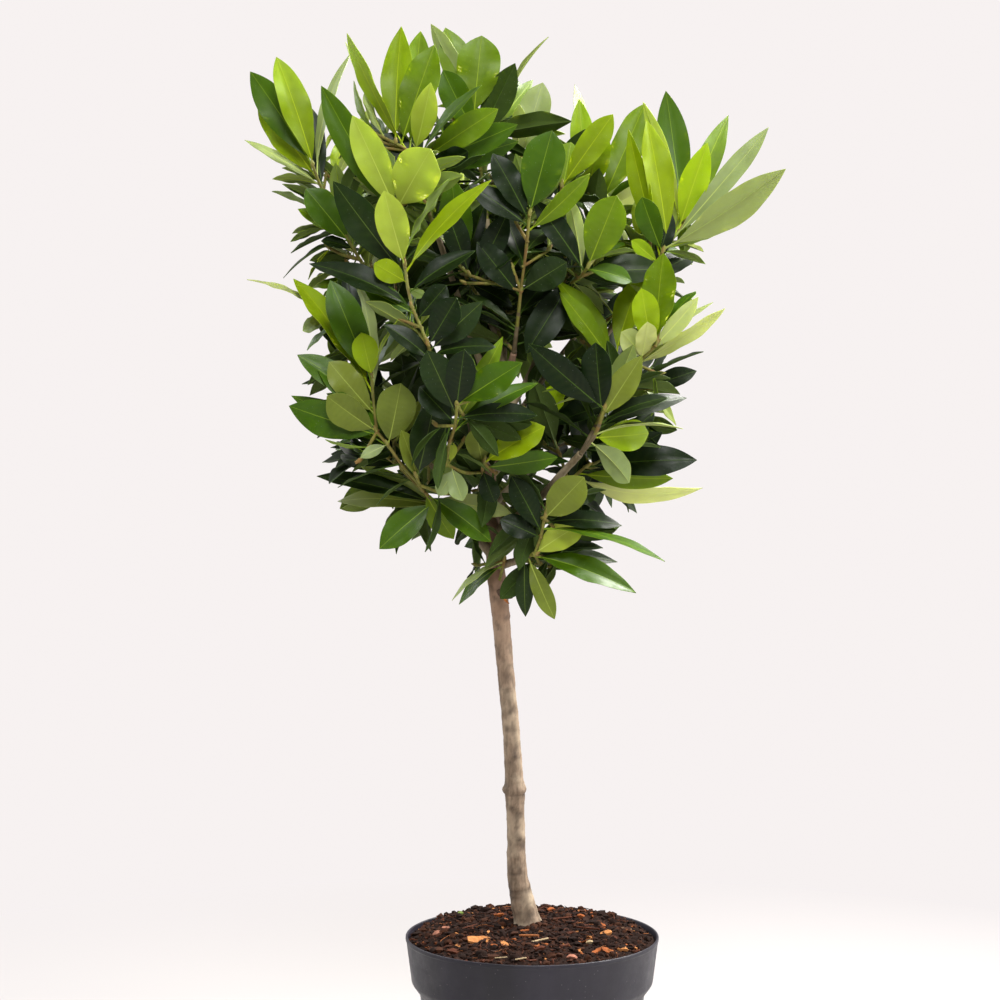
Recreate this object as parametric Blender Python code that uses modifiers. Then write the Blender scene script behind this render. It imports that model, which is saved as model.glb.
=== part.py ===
"""A standard bay topiary in its nursery pot.

A sweet bay trained as a small standard: one clear stem, and on it a loose crown that widens
upwards, made of short boughs that each carry one mass of leafy shoots.

Metres, +Z up. The origin is the centre of the pot's flat underside and -Y is the front.
The tables below are in millimetres and degrees.
"""

import math
import random
from dataclasses import dataclass

import bmesh
import bpy
from mathutils import Matrix, Vector
from mathutils.bvhtree import BVHTree

MM = 0.001
GAP = 0.3 * MM  # between any two solids that touch on the real plant
SEED = 21

# The pot: a round 3-litre nursery pot
RIM_RADIUS = 95
POT_HEIGHT = 150
BAND_FOOT_RADIUS = 90.5  # where the deep rim band ends
BAND_DEPTH = 35
NECK_RADIUS = 84.5  # the wall just under the band
NECK_DROP = 7
FOOT_RADIUS = 67
WALL = 1.6
FLOOR = 2.2
POT_STEPS = 34
DRAIN_HOLES = 6
DRAIN_RADIUS = 4.5
DRAIN_RING = 46

# The compost stands proud of the rim round the stem and lies under it at the pot's wall
SOIL_TOP = 155
SOIL_EDGE = 144
PLATEAU_RADIUS = 26  # level ground round the stem's foot
SHOULDER_RADIUS = 62

# The stem: height, sideways, depth and radius. It springs from the ground with a flared foot,
# leans to the left, swells at its old leaf scars and runs up inside the crown.
TRUNK = (
    (150, -3.0, 10, 13.0),
    (155, -3.2, 10, 11.8),
    (161, -4.2, 10, 9.9),
    (177, -8.1, 9, 8.7),
    (198, -11.4, 8, 7.4),
    (220, -11.8, 7, 6.9),
    (242, -12.5, 6, 6.9),
    (258, -12.9, 5, 7.8),
    (272, -13.8, 5, 6.8),
    (305, -15.8, 4, 6.4),
    (347, -19.8, 3, 6.3),
    (389, -23.5, 2, 6.7),
    (412, -25.8, 2, 7.1),
    (433, -27.9, 1, 6.6),
    (495, -31.6, 0, 4.6),
    (550, -22.0, -8, 3.4),
    (585, -14.0, -25, 2.4),
)

# Each bough: the height at which it leaves the stem, its bends and its end, and its two radii.
BOUGHS = {
    "bough_left": (433, ((-50, -12, 459), (-64, -22, 469)), 3.6, 2.9),
    "bough_right": (450, ((4, -20, 477), (22, -42, 497), (34, -56, 510)), 3.2, 2.4),
    "bough_front": (468, ((-38, -26, 484), (-37, -46, 496)), 2.6, 1.9),
    "bough_front_left": (505, ((-46, -40, 528), (-66, -86, 560)), 3.0, 2.1),
    "bough_crest_left": (520, ((-72, 5, 575), (-118, 10, 640)), 3.0, 2.0),
    "bough_crest": (538, ((-46, -12, 600), (-70, -22, 672)), 3.0, 2.0),
    "bough_top": (559, ((-27, 10, 610), (-34, 16, 690)), 2.8, 1.9),
    "bough_shoulder": (530, ((0, 0, 575), (24, 2, 640)), 2.8, 1.9),
    "bough_crest_right": (495, ((14, 10, 545), (55, 2, 600), (80, -8, 630)), 3.0, 2.0),
    "bough_right_low": (444, ((-6, 8, 458), (16, -2, 478)), 2.6, 1.9),
    "bough_skirt": (426, ((-16, -14, 430), (-10, -21, 432)), 3.2, 2.6),
    "bough_back_low": (440, ((-28, 24, 452), (-22, 52, 474)), 2.6, 1.8),
    "bough_back_left_low": (458, ((-52, 22, 482), (-78, 42, 504)), 2.6, 1.8),
    "bough_back_right_low": (472, ((-8, 26, 494), (26, 52, 520)), 2.6, 1.8),
    "bough_back_left": (512, ((-54, 32, 556), (-84, 58, 600)), 2.6, 1.8),
    "bough_back_right": (516, ((2, 32, 560), (34, 62, 604)), 2.6, 1.8),
    "bough_back": (546, ((-21, 34, 590), (-24, 66, 636)), 2.6, 1.8),
    "bough_heart": (566, ((-26, -2, 596), (-40, 16, 630)), 2.2, 1.7),
}

# How far the crown reaches from its middle at each height
CROWN_MIDDLE = (-26, 0)
CROWN_REACH = ((400, 30), (430, 88), (470, 125), (540, 152), (650, 156), (700, 172), (760, 185),
               (800, 160), (845, 60))


@dataclass
class Leaf:
    """One leaf: where it points and faces in degrees, and its size."""

    heading: float  # 0 is up and 90 is to the right, seen from the front
    lean: float  # towards the front
    length: float
    width: float
    turn: float = 0  # 0 shows its upper face to the front and 180 its underside
    arch: float = 12  # how far the tip bends away from the upper face, per cent of the length


@dataclass
class Shoot:
    """One shoot: its tip, where it points there, its own leaves and how many more grow below."""

    tip: tuple
    heading: float
    lean: float
    more: int
    leaves: tuple = ()


@dataclass
class Mass:
    """One mass of foliage: the limb that carries it, or a height on the stem, and its shoots."""

    limb: object
    shoots: list


@dataclass
class Sector:
    """A mass whose shoots are spread by rule over its share of the crown."""

    limb: str
    azimuth: tuple  # degrees from the right, turning towards the back
    heights: tuple
    shoots: int
    inset: float = 52  # how far inside the crown's surface its shoots end


FOLIAGE = {
    "foliage_sprout": Mass(412, [
        Shoot((-21, -17, 431), 10, 20, 0, [
            Leaf(-106, 8, 45, 13, 70, 40),
            Leaf(-114, -4, 44, 12, 40, 48),
            Leaf(9, 20, 19, 6),
        ]),
    ]),
    "foliage_skirt": Mass("bough_skirt", [
        Shoot((1, -36, 437), 60, 15, 1, [
            Leaf(53, 25, 44, 21),
            Leaf(99, 15, 78, 24, -36, 32),
            Leaf(159, 15, 49, 15, 12, 20),
            Leaf(-178, 5, 43, 15, 22, 20),
            Leaf(81, -10, 76, 16, -30, 32),
        ]),
        Shoot((8, -52, 463), 20, 20, 3, [
            Leaf(43, 32, 45, 27),
            Leaf(77, 10, 54, 19, -45, 36),
            Leaf(87, 0, 90, 19, -45, 28),
            Leaf(-26, 15, 47, 20, 10),
            Leaf(-64, 10, 32, 18, 10),
        ]),
    ]),
    "foliage_left": Mass("bough_left", [
        Shoot((-80, -35, 483), -40, 10, 0, [
            Leaf(151, -20, 46, 20),
            Leaf(120, 18, 57, 21, -27, 24),
            Leaf(97, 5, 60, 18, -40),
            Leaf(-130, 8, 53, 24, 15),
            Leaf(-70, 0, 92, 20, 42, 16),
            Leaf(-76, -8, 82, 18, 30, 32),
            Leaf(-54, 2, 70, 14, 40, 20),
        ]),
        Shoot((-84, -58, 493), -20, 25, 1, [
            Leaf(16, 26, 61, 31, 22),
            Leaf(-14, 30, 40, 16, 30),
        ]),
        Shoot((-105, -55, 516), -20, 20, 0, [
            Leaf(15, 24, 47, 30, 12),
        ]),
        Shoot((-113, -55, 526), -30, 10, 1, [
            Leaf(-57, 18, 44, 26, -22),
            Leaf(-73, 5, 70, 28, -12),
            Leaf(-36, -5, 48, 20, 10),
            Leaf(-114, 20, 22, 10, 20),
            Leaf(-60, -15, 88, 18, 20),
        ]),
        Shoot((-117, -50, 566), -10, 5, 3, [
            Leaf(-13, 26, 32, 20, 0, 25),
            Leaf(-22, 4, 80, 27, 9),
            Leaf(-18, -8, 96, 20, -30),
            Leaf(-24, -14, 114, 24, 10),
            Leaf(2, -4, 90, 14, 40, 28),
            Leaf(-54, 8, 65, 22, 21),
            Leaf(-56, 8, 49, 20, 20),
            Leaf(-42, 14, 50, 24, 7),
        ]),
        Shoot((-154, -8, 616), -50, 0, 2, [
            Leaf(-52, 2, 63, 15, 70, 28),
            Leaf(-113, 0, 23, 14, 30),
            Leaf(-92, -5, 18, 9, 10),
            Leaf(-125, 0, 30, 12, 60),
        ]),
    ]),
    "foliage_front": Mass("bough_front", [
        Shoot((-36, -70, 503), 10, 25, 2, [
            Leaf(56, 22, 52, 24, -22),
            Leaf(-12, 18, 28, 20, 10),
            Leaf(84, 5, 54, 18, 20),
            Leaf(161, 10, 25, 16, 10),
            Leaf(67, 5, 62, 20, -54, 40),
        ]),
        Shoot((-62, -68, 502), -20, 20, 0, [
            Leaf(16, 10, 16, 9),
            Leaf(164, 15, 26, 15, 10),
            Leaf(-146, 10, 23, 13, 10),
        ]),
        Shoot((-54, -104, 543), -5, 25, 2, [
            Leaf(57, 22, 55, 24, -12),
            Leaf(9, 25, 46, 22),
            Leaf(-26, 10, 49, 24, 10),
            Leaf(77, 8, 55, 18, -36, 32),
            Leaf(-44, 5, 36, 20, 10),
            Leaf(29, 8, 72, 16, 15),
            Leaf(46, 15, 65, 16, -30, 40),
        ]),
    ]),
    "foliage_front_left": Mass("bough_front_left", [
        Shoot((-74, -105, 584), -10, 15, 1, [
            Leaf(34, 28, 40, 22),
            Leaf(47, 12, 50, 22, 10),
            Leaf(66, 15, 43, 20, -54, 36),
            Leaf(-46, 18, 41, 16, 28, 28),
        ]),
        Shoot((-85, -98, 610), -20, 5, 2, [
            Leaf(-54, 5, 78, 24, 45, 32),
            Leaf(-61, -4, 42, 18, 15),
            Leaf(42, 12, 31, 18, 10),
        ]),
        Shoot((-91, -90, 641), -5, 5, 1, [
            Leaf(-17, 32, 56, 24),
            Leaf(34, 10, 86, 21, -45, 24),
            Leaf(-39, 2, 86, 27, -15),
            Leaf(-61, 25, 27, 17),
            Leaf(120, 20, 15, 8, 160),
            Leaf(47, 10, 53, 18, -40, 32),
        ]),
        Shoot((-97, -80, 683), -5, 5, 2, [
            Leaf(34, 42, 54, 36),
            Leaf(-24, 15, 75, 24, -7),
            Leaf(-32, -2, 114, 24, -22),
        ]),
    ]),
    "foliage_crest_left": Mass("bough_crest_left", [
        Shoot((-141, 8, 677), -30, 0, 2, [
            Leaf(-59, 0, 42, 17, 35),
            Leaf(-97, 0, 53, 16, 65, 44),
            Leaf(-38, 5, 53, 26, 10),
            Leaf(-72, 0, 25, 14, 40, 15),
            Leaf(-59, -5, 34, 8, 60, 32),
        ]),
        Shoot((-153, 34, 722), 5, -10, 3, [
            Leaf(14, -10, 36, 16, 30),
            Leaf(27, 10, 68, 12, 20),
        ]),
        Shoot((-165, 0, 728), -5, 0, 2, [
            Leaf(-31, -8, 94, 26, -9),
            Leaf(-15, 8, 89, 26, 28),
            Leaf(0, -5, 103, 14, -43, 32),
            Leaf(-38, 8, 88, 26, -22),
            Leaf(-53, -10, 73, 12, 42),
            Leaf(-10, 0, 67, 16, 10),
        ]),
    ]),
    "foliage_crest": Mass("bough_crest", [
        Shoot((-80, -22, 730), 30, 0, 3, [
            Leaf(59, 20, 65, 22, 9),
            Leaf(70, 4, 75, 22, 20),
            Leaf(74, -8, 77, 21, 20),
            Leaf(64, 8, 38, 22, 15),
            Leaf(-38, 8, 43, 24, 10),
        ]),
        Shoot((-101, -30, 739), 0, 0, 3, [
            Leaf(0, -2, 90, 26, -7),
            Leaf(19, 12, 77, 29, -7),
            Leaf(-32, 6, 94, 20, -60),
            Leaf(3, -16, 107, 22),
            Leaf(22, 30, 54, 20, -22),
            Leaf(37, 10, 72, 18, -45),
            Leaf(-42, -4, 109, 12, -45, 20),
        ]),
    ]),
    "foliage_centre": Mass("trunk", [
        Shoot((-9, -44, 629), 10, 10, 2, [
            Leaf(60, 25, 40, 24, 5),
            Leaf(-40, 15, 50, 22, 10),
        ]),
        Shoot((-46, -45, 640), -30, 10, 3, [
            Leaf(-20, 15, 52, 20, 10),
            Leaf(30, 10, 52, 20, 10),
            Leaf(41, 5, 37, 16, -40, 32),
        ]),
        Shoot((-3, -65, 681), 5, 5, 3, [
            Leaf(15, 15, 61, 32),
            Leaf(-27, 10, 54, 22, 15),
            Leaf(-52, 5, 52, 20, 20),
            Leaf(52, 10, 60, 20, 45),
        ]),
    ]),
    "foliage_top": Mass("bough_top", [
        Shoot((-44, 10, 766), -5, 0, 3, [
            Leaf(5, 8, 62, 35),
            Leaf(-15, 0, 78, 27, 12),
            Leaf(-18, -6, 86, 20, 130),
            Leaf(-32, 10, 53, 24, 10),
            Leaf(-29, 2, 49, 14, 150),
        ]),
        Shoot((-8, 40, 742), 15, 0, 2, [
            Leaf(16, 2, 61, 26),
            Leaf(2, 14, 43, 16, 150),
            Leaf(50, 5, 48, 12, 70),
            Leaf(-38, 12, 61, 22, 10),
        ]),
        Shoot((-25, 34, 768), 15, 0, 3, [
            Leaf(15, 0, 75, 15, -70, 28),
            Leaf(30, -10, 51, 28, 10),
            Leaf(37, -20, 62, 14, 10),
        ]),
    ]),
    "foliage_shoulder": Mass("bough_shoulder", [
        Shoot((39, -60, 644), 20, 20, 2, [
            Leaf(22, 30, 56, 30),
            Leaf(95, 10, 33, 18, -36, 32),
            Leaf(-33, 10, 63, 20, 10),
            Leaf(-7, 0, 58, 14, 150),
        ]),
        Shoot((22, -8, 711), 15, 0, 2, [
            Leaf(36, 12, 65, 22, 9),
            Leaf(13, -5, 40, 22, 10),
        ]),
        Shoot((54, 48, 706), 20, -5, 3, [
            Leaf(24, 4, 87, 28, 22),
            Leaf(57, 0, 46, 20, 40),
            Leaf(64, -4, 45, 18, 30),
        ]),
        Shoot((43, 20, 711), 5, 0, 2, [
            Leaf(-7, 8, 71, 20),
            Leaf(8, 12, 53, 26),
            Leaf(-1, -14, 103, 18, 50),
        ]),
    ]),
    "foliage_crest_right": Mass("bough_crest_right", [
        Shoot((96, -22, 660), 20, 0, 1, [
            Leaf(-24, 15, 43, 20, -22),
            Leaf(-16, 4, 98, 18, -37),
            Leaf(-53, 20, 26, 12),
            Leaf(14, 10, 41, 14, 10),
        ]),
        Shoot((113, -10, 684), 20, 5, 2, [
            Leaf(-6, -8, 111, 26, -7, 20),
            Leaf(-12, -4, 96, 14, 150),
            Leaf(17, 15, 67, 23, 7),
            Leaf(11, -10, 83, 20, 10),
            Leaf(24, -5, 112, 21, 12, 24),
            Leaf(42, 2, 114, 18, 30),
            Leaf(-7, 6, 94, 26, 22),
            Leaf(62, 22, 108, 29, 155),
        ]),
    ]),
    "foliage_right": Mass("bough_right", [
        Shoot((50, -78, 541), 10, 10, 1, [
            Leaf(-52, 14, 71, 24, -12),
            Leaf(-8, 16, 51, 24, -22),
            Leaf(33, 20, 54, 21, 9),
            Leaf(56, 10, 51, 16, -54, 32),
            Leaf(57, -4, 72, 18, -30, 48),
            Leaf(69, 0, 60, 20, -84, 32),
            Leaf(86, -14, 45, 24, 10),
            Leaf(129, 20, 48, 20, -160, 40),
        ]),
        Shoot((61, -28, 583), 0, 5, 2, [
            Leaf(14, -4, 67, 24, -27),
            Leaf(-30, 10, 72, 24, 27, 20),
            Leaf(-34, 14, 67, 18, 22),
        ]),
        Shoot((89, -50, 589), 10, 10, 2, [
            Leaf(1, 10, 66, 28, -22),
            Leaf(-13, 25, 45, 21),
            Leaf(45, 5, 54, 15, 21),
            Leaf(-50, 38, 28, 19),
            Leaf(9, 42, 34, 18),
            Leaf(52, -8, 63, 14, 60),
            Leaf(63, 0, 80, 14, 39),
            Leaf(40, -6, 86, 10, -60, 20),
        ]),
    ]),
    "foliage_right_low": Mass("bough_right_low", [
        Shoot((39, -20, 501), 60, 10, 4, [
            Leaf(82, 12, 82, 26, -17),
            Leaf(93, 4, 58, 12, 15),
            Leaf(93, 5, 70, 18, 36, 16),
            Leaf(114, -10, 106, 22, 40, 52),
        ]),
        Shoot((11, -10, 533), 0, 10, 1, [
            Leaf(8, 15, 32, 22, -36, 32),
            Leaf(-22, 5, 30, 18, 10),
        ]),
    ]),
}

BY_RULE = {
    "foliage_back_low": Sector("bough_back_low", (62, 118), (452, 520), 4),
    "foliage_back_left_low": Sector("bough_back_left_low", (125, 188), (486, 582), 5),
    "foliage_back_right_low": Sector("bough_back_right_low", (-12, 55), (490, 590), 5),
    "foliage_back_left": Sector("bough_back_left", (108, 172), (612, 715), 5),
    "foliage_back_right": Sector("bough_back_right", (2, 66), (616, 700), 5),
    "foliage_back": Sector("bough_back", (70, 112), (600, 740), 5),
    "foliage_heart": Sector("bough_heart", (20, 250), (605, 715), 4, 115),
}

# Leaves that grow by rule
GOLDEN_ANGLE = math.radians(137.5)
LEAF_LENGTHS = (50, 70)
LEAF_RATIO = 0.38
WHORL_LEAVES = 5  # round the tip of a shoot that has no leaves of its own listed
WHORL_STEP = 4
STEM_STEP = 11
TRIES = 8
LISTED_WANDER = (0.6, 2, 4)  # degrees more of heading, lean and turn at each try
SOLVER = "MANIFOLD"

# Sizes of the solids themselves
TRUNK_SIDES = 10
BOUGH_SIDES = 6
TWIG_TIP = 1.5
TWIG_TAPER = 0.92
TWIG_STEP = 24
LEAF_THICKNESS = 1 / 55  # by its length
BLADE = ((0.36, 0.5), (0.74, 0.37))  # along the length, and half the width there by the width
UPPER_FACE = ((0, 1, 2), (1, 3, 4, 2), (3, 5, 4))  # root, two left and right pairs, tip
RIM = (0, 1, 3, 5, 4, 2)
KEEL_SHARE = 0.42
ROOT_DEPTH = 0.5  # past the twig's centreline
BLADE_START = 0.12  # leaves of one mass may cross nearer their roots than this
BUD = 2.5
SQUARE_START = 1.5  # a mass's stem runs this far straight on from its limb before it bends

COLOURS = {  # base colour, roughness
    "pot": ((0.022, 0.019, 0.022), 0.55),
    "compost": ((0.021, 0.009, 0.005), 0.95),
    "bark": ((0.36, 0.26, 0.16), 0.75),
    "young_bark": ((0.21, 0.13, 0.06), 0.7),
    "leaf": ((0.07, 0.16, 0.02), 0.45),
}


# ---------------------------------------------------------------- scene and materials


def clear_scene():
    for thing in list(bpy.data.objects):
        bpy.data.objects.remove(thing, do_unlink=True)


def new_collection(name):
    made = bpy.data.collections.new(name)
    bpy.context.scene.collection.children.link(made)
    return made


def material(name):
    colour, roughness = COLOURS[name]
    made = bpy.data.materials.get(name)
    if made is None:
        made = bpy.data.materials.new(name)
        made.use_nodes = True
        shader = made.node_tree.nodes["Principled BSDF"]
        shader.inputs["Base Color"].default_value = (*colour, 1)
        shader.inputs["Roughness"].default_value = roughness
        shader.inputs["Metallic"].default_value = 0
    return made


def place(name, data, collection, finish=None):
    made = bpy.data.objects.new(name, data)
    collection.objects.link(made)
    if finish:
        data.materials.clear()
        data.materials.append(material(finish))
    return made


def to_metres(point):
    return Vector(point) * MM


# ---------------------------------------------------------------- turned solids: pot and compost


def turned(name, profile, collection, finish):
    """A solid of revolution: the profile starts and ends on the axis, outer side top to bottom."""
    mesh = bpy.data.meshes.new(name)
    points = [(radius * MM, 0, height * MM) for radius, height in profile]
    mesh.from_pydata(points, [(i, i + 1) for i in range(len(points) - 1)], [])
    made = place(name, mesh, collection, finish)
    screw = made.modifiers.new("turn", "SCREW")
    screw.steps = screw.render_steps = POT_STEPS
    screw.use_merge_vertices = True
    screw.merge_threshold = 0.00005
    screw.use_smooth_shade = True
    return made


def build_pot(parts, cutters):
    rim = RIM_RADIUS
    band_foot = POT_HEIGHT - BAND_DEPTH
    neck = band_foot - NECK_DROP
    profile = [
        (0, FLOOR),
        (FOOT_RADIUS - WALL - 2, FLOOR),
        (FOOT_RADIUS - WALL, FLOOR + 2),
        (NECK_RADIUS - WALL, neck),
        (BAND_FOOT_RADIUS - WALL, band_foot + 0.5),
        (rim - WALL, POT_HEIGHT - 0.6),
        (rim - WALL + 0.6, POT_HEIGHT),
        (rim - 0.6, POT_HEIGHT),
        (rim, POT_HEIGHT - 0.6),
        (BAND_FOOT_RADIUS + 0.3, band_foot + 2),
        (BAND_FOOT_RADIUS - 0.6, band_foot),
        (NECK_RADIUS, neck),
        (FOOT_RADIUS + 0.6, 1.5),
        (FOOT_RADIUS - 1, 0),
        (0, 0),
    ]
    pot = turned("pot", profile, parts, "pot")
    for k in range(DRAIN_HOLES):
        angle = 2 * math.pi * (k + 0.5) / DRAIN_HOLES
        centre = (DRAIN_RING * math.cos(angle), DRAIN_RING * math.sin(angle), FLOOR / 2)
        bpy.ops.mesh.primitive_cylinder_add(
            vertices=8, radius=DRAIN_RADIUS * MM, depth=4 * FLOOR * MM, location=to_metres(centre)
        )
        drill = bpy.context.object
        drill.name = f"drain_{k}"
        for held in list(drill.users_collection):
            held.objects.unlink(drill)
        cutters.objects.link(drill)
        drill.hide_render = True
        drill.display_type = "WIRE"
        cut = pot.modifiers.new(drill.name, "BOOLEAN")
        cut.operation = "DIFFERENCE"
        cut.object = drill
    return pot


def build_soil(parts):
    clear = WALL + GAP / MM
    band_foot = POT_HEIGHT - BAND_DEPTH
    neck = band_foot - NECK_DROP
    up_the_band = (SOIL_EDGE - band_foot) / BAND_DEPTH
    edge_radius = BAND_FOOT_RADIUS + (RIM_RADIUS - BAND_FOOT_RADIUS) * up_the_band
    profile = [
        (0, SOIL_TOP),
        (PLATEAU_RADIUS, SOIL_TOP),
        (SHOULDER_RADIUS, SOIL_TOP - 1.5),
        (edge_radius - clear - 12, SOIL_EDGE + 4),
        (edge_radius - clear - 1, SOIL_EDGE),
        (BAND_FOOT_RADIUS - clear - 0.4, band_foot),
        (NECK_RADIUS - clear - 0.4, neck),
        (FOOT_RADIUS - clear - 0.4, FLOOR + 3),
        (FOOT_RADIUS - clear - 2.5, FLOOR + GAP / MM),
        (0, FLOOR + GAP / MM),
    ]
    return turned("compost", profile, parts, "compost")


# ---------------------------------------------------------------- limbs


def smooth(knots, steps):
    """A Catmull-Rom curve through knots of (position, radius), with this many steps a span."""
    ends = [2 * knots[0] - knots[1], *knots, 2 * knots[-1] - knots[-2]]
    path = []
    for a, b, c, d in zip(ends, ends[1:], ends[2:], ends[3:]):
        for step in range(steps):
            t = step / steps
            path.append(
                0.5 * (2 * b + (c - a) * t + (2 * a - 5 * b + 4 * c - d) * t**2
                       + (3 * b - a - 3 * c + d) * t**3)
            )
    return [*path, knots[-1]]


def tube_mesh(name, path, sides):
    """A tapering tube along path, whose points are (x, y, z, radius), as one closed mesh."""
    curve = bpy.data.curves.new(name, "CURVE")
    curve.dimensions = "3D"
    curve.use_fill_caps = True
    profile = None
    if sides == 3:
        outline = bpy.data.curves.new("three_sided", "CURVE")
        corners = outline.splines.new("POLY")
        corners.points.add(2)
        corners.use_cyclic_u = True
        for k, corner in enumerate(corners.points):
            angle = 2 * math.pi * k / 3
            corner.co = (math.cos(angle) * MM, math.sin(angle) * MM, 0, 1)
        profile = bpy.data.objects.new("three_sided", outline)
        curve.bevel_mode = "OBJECT"
        curve.bevel_object = profile
    else:
        curve.bevel_depth = MM
        curve.bevel_resolution = sides // 2 - 2
    spline = curve.splines.new("POLY")
    spline.points.add(len(path) - 1)
    for point, (x, y, z, radius) in zip(spline.points, path):
        point.co = (x * MM, y * MM, z * MM, 1)
        point.radius = radius
    guide = bpy.data.objects.new(name, curve)
    bpy.context.scene.collection.objects.link(guide)
    graph = bpy.context.evaluated_depsgraph_get()
    mesh = bpy.data.meshes.new_from_object(guide.evaluated_get(graph))
    mesh.name = name
    bpy.data.objects.remove(guide)
    bpy.data.curves.remove(curve)
    if profile:
        bpy.data.objects.remove(profile)
    weld = bmesh.new()
    weld.from_mesh(mesh)
    bmesh.ops.remove_doubles(weld, verts=weld.verts, dist=1e-6)
    bmesh.ops.recalc_face_normals(weld, faces=weld.faces)
    weld.to_mesh(mesh)
    weld.free()
    mesh.shade_smooth()
    mesh.set_sharp_from_angle(angle=math.radians(50))
    return mesh


def grown(path, by):
    return [(x, y, z, radius + by) for x, y, z, radius in path]


def on_trunk(height):
    """The point on the stem's centreline at this height."""
    for low, high in zip(TRUNK, TRUNK[1:]):
        if low[0] <= height <= high[0]:
            share = (height - low[0]) / (high[0] - low[0])
            x, y = (low[i] + (high[i] - low[i]) * share for i in (1, 2))
            return x, y, height
    raise ValueError(f"the stem has no height {height}")


def trunk_path():
    return smooth([Vector((x, y, z, radius)) for z, x, y, radius in TRUNK], 1)


def bough_path(height, bends, first_radius, last_radius):
    places = [on_trunk(height), *bends]
    knots = []
    for k, place_on_it in enumerate(places):
        share = k / (len(places) - 1)
        knots.append(Vector((*place_on_it, first_radius + (last_radius - first_radius) * share)))
    return smooth(knots, 2)


def build_trunk(parts, cutters):
    """The stem, cut flat at the ground, and a slightly larger copy that boughs are cut with."""
    trunk = place("trunk", tube_mesh("trunk", trunk_path(), TRUNK_SIDES), parts, "bark")
    ground_level = SOIL_TOP + GAP / MM
    bpy.ops.mesh.primitive_cube_add(size=60 * MM, location=to_metres((0, 0, ground_level - 30)))
    ground = bpy.context.object
    ground.name = "ground"
    wider = tube_mesh("trunk_clearance", grown(trunk_path(), GAP / MM), TRUNK_SIDES)
    clearance = place("trunk_clearance", wider, cutters)
    for cutter in (ground, clearance):
        cutter.hide_render = True
        cutter.display_type = "WIRE"
    for held in list(ground.users_collection):
        held.objects.unlink(ground)
    cutters.objects.link(ground)
    cut = trunk.modifiers.new("flat_cut", "BOOLEAN")
    cut.operation = "DIFFERENCE"
    cut.object = ground
    return trunk, clearance


def build_bough(name, sizes, clearance, parts):
    bough = place(name, tube_mesh(name, bough_path(*sizes), BOUGH_SIDES), parts, "young_bark")
    cut = bough.modifiers.new("clear_of_trunk", "BOOLEAN")
    cut.operation = "DIFFERENCE"
    cut.object = clearance
    return bough


# ---------------------------------------------------------------- twigs and leaves


def pointing(heading, lean):
    heading, lean = math.radians(heading), math.radians(lean)
    return Vector(
        (math.sin(heading) * math.cos(lean), -math.sin(lean), math.cos(heading) * math.cos(lean))
    )


def turned_face(along, turn):
    """The way a blade's upper face looks: to the front, then turned about the blade's length."""
    front = Vector((0, -1, 0))
    face = (front - along * along.dot(front)).normalized()
    return Matrix.Rotation(math.radians(turn), 3, along) @ face


class Solid:
    """A shape that others have to stay clear of: its corners, its faces and the node it is in."""

    def __init__(self, corners, faces, owner=None):
        self.owner = owner
        self.low = [min(corner[i] for corner in corners) for i in range(3)]
        self.high = [max(corner[i] for corner in corners) for i in range(3)]
        self.tree = BVHTree.FromPolygons(corners, faces)

    def meets(self, others):
        for other in others:
            apart = any(
                self.low[i] > other.high[i] or self.high[i] < other.low[i] for i in range(3)
            )
            if not apart and self.tree.overlap(other.tree):
                return True
        return False


def solid_of_mesh(mesh, owner=None):
    corners = [v.co / MM for v in mesh.vertices]
    return Solid(corners, [tuple(p.vertices) for p in mesh.polygons], owner)


@dataclass
class Pose:
    """A leaf in its place."""

    leaf: Leaf
    root: Vector
    along: Vector
    face: Vector

    def corners(self, first=0, grow=0, lift=0):
        """The six corners of the blade, which may start part of the way along or be grown."""
        side = self.along.cross(self.face)
        length = self.leaf.length + grow
        found = []
        for share, half in ((first, 0), *BLADE, (1, 0)):
            middle = self.root + self.along * (length * share)
            middle += self.face * (lift - length * self.leaf.arch / 100 * share * share)
            reach = side * (half * self.leaf.width + grow)
            found += [middle - reach, middle + reach] if half else [middle]
        return found

    def shape(self):
        """The leaf's own solid: the blade is flat above, keeled below and pointed at both ends."""
        keel = self.root + self.along * (self.leaf.length * KEEL_SHARE)
        sag = self.leaf.length * self.leaf.arch / 100 * KEEL_SHARE**2
        keel -= self.face * (sag + self.leaf.length * LEAF_THICKNESS)
        fan = [(b, a, len(RIM)) for a, b in zip(RIM, (*RIM[1:], RIM[0]))]
        corners = self.corners()
        corners[0] = self.root - self.along * ROOT_DEPTH
        return [*corners, keel], [*UPPER_FACE, *fan]

    def room(self):
        """The space that the leaf needs, a gap wider than the leaf all round."""
        gap = GAP / MM
        upper = self.corners(grow=gap, lift=gap)
        lower = self.corners(grow=gap, lift=-gap - self.leaf.length * LEAF_THICKNESS)
        under = [tuple(corner + len(RIM) for corner in face) for face in UPPER_FACE]
        wall = [(a, b, b + len(RIM), a + len(RIM)) for a, b in zip(RIM, (*RIM[1:], RIM[0]))]
        return Solid(upper + lower, [*UPPER_FACE, *under, *wall])

    def blade(self):
        """The blade without its narrow root, where leaves of one whorl may cross."""
        return Solid(self.corners(first=BLADE_START), UPPER_FACE)


def leaf_mesh(pose):
    corners, faces = pose.shape()
    mesh = bpy.data.meshes.new("leaf")
    mesh.from_pydata([corner * MM for corner in corners], [], faces)
    work = bmesh.new()
    work.from_mesh(mesh)
    bmesh.ops.recalc_face_normals(work, faces=work.faces)
    work.to_mesh(mesh)
    work.free()
    return mesh


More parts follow.
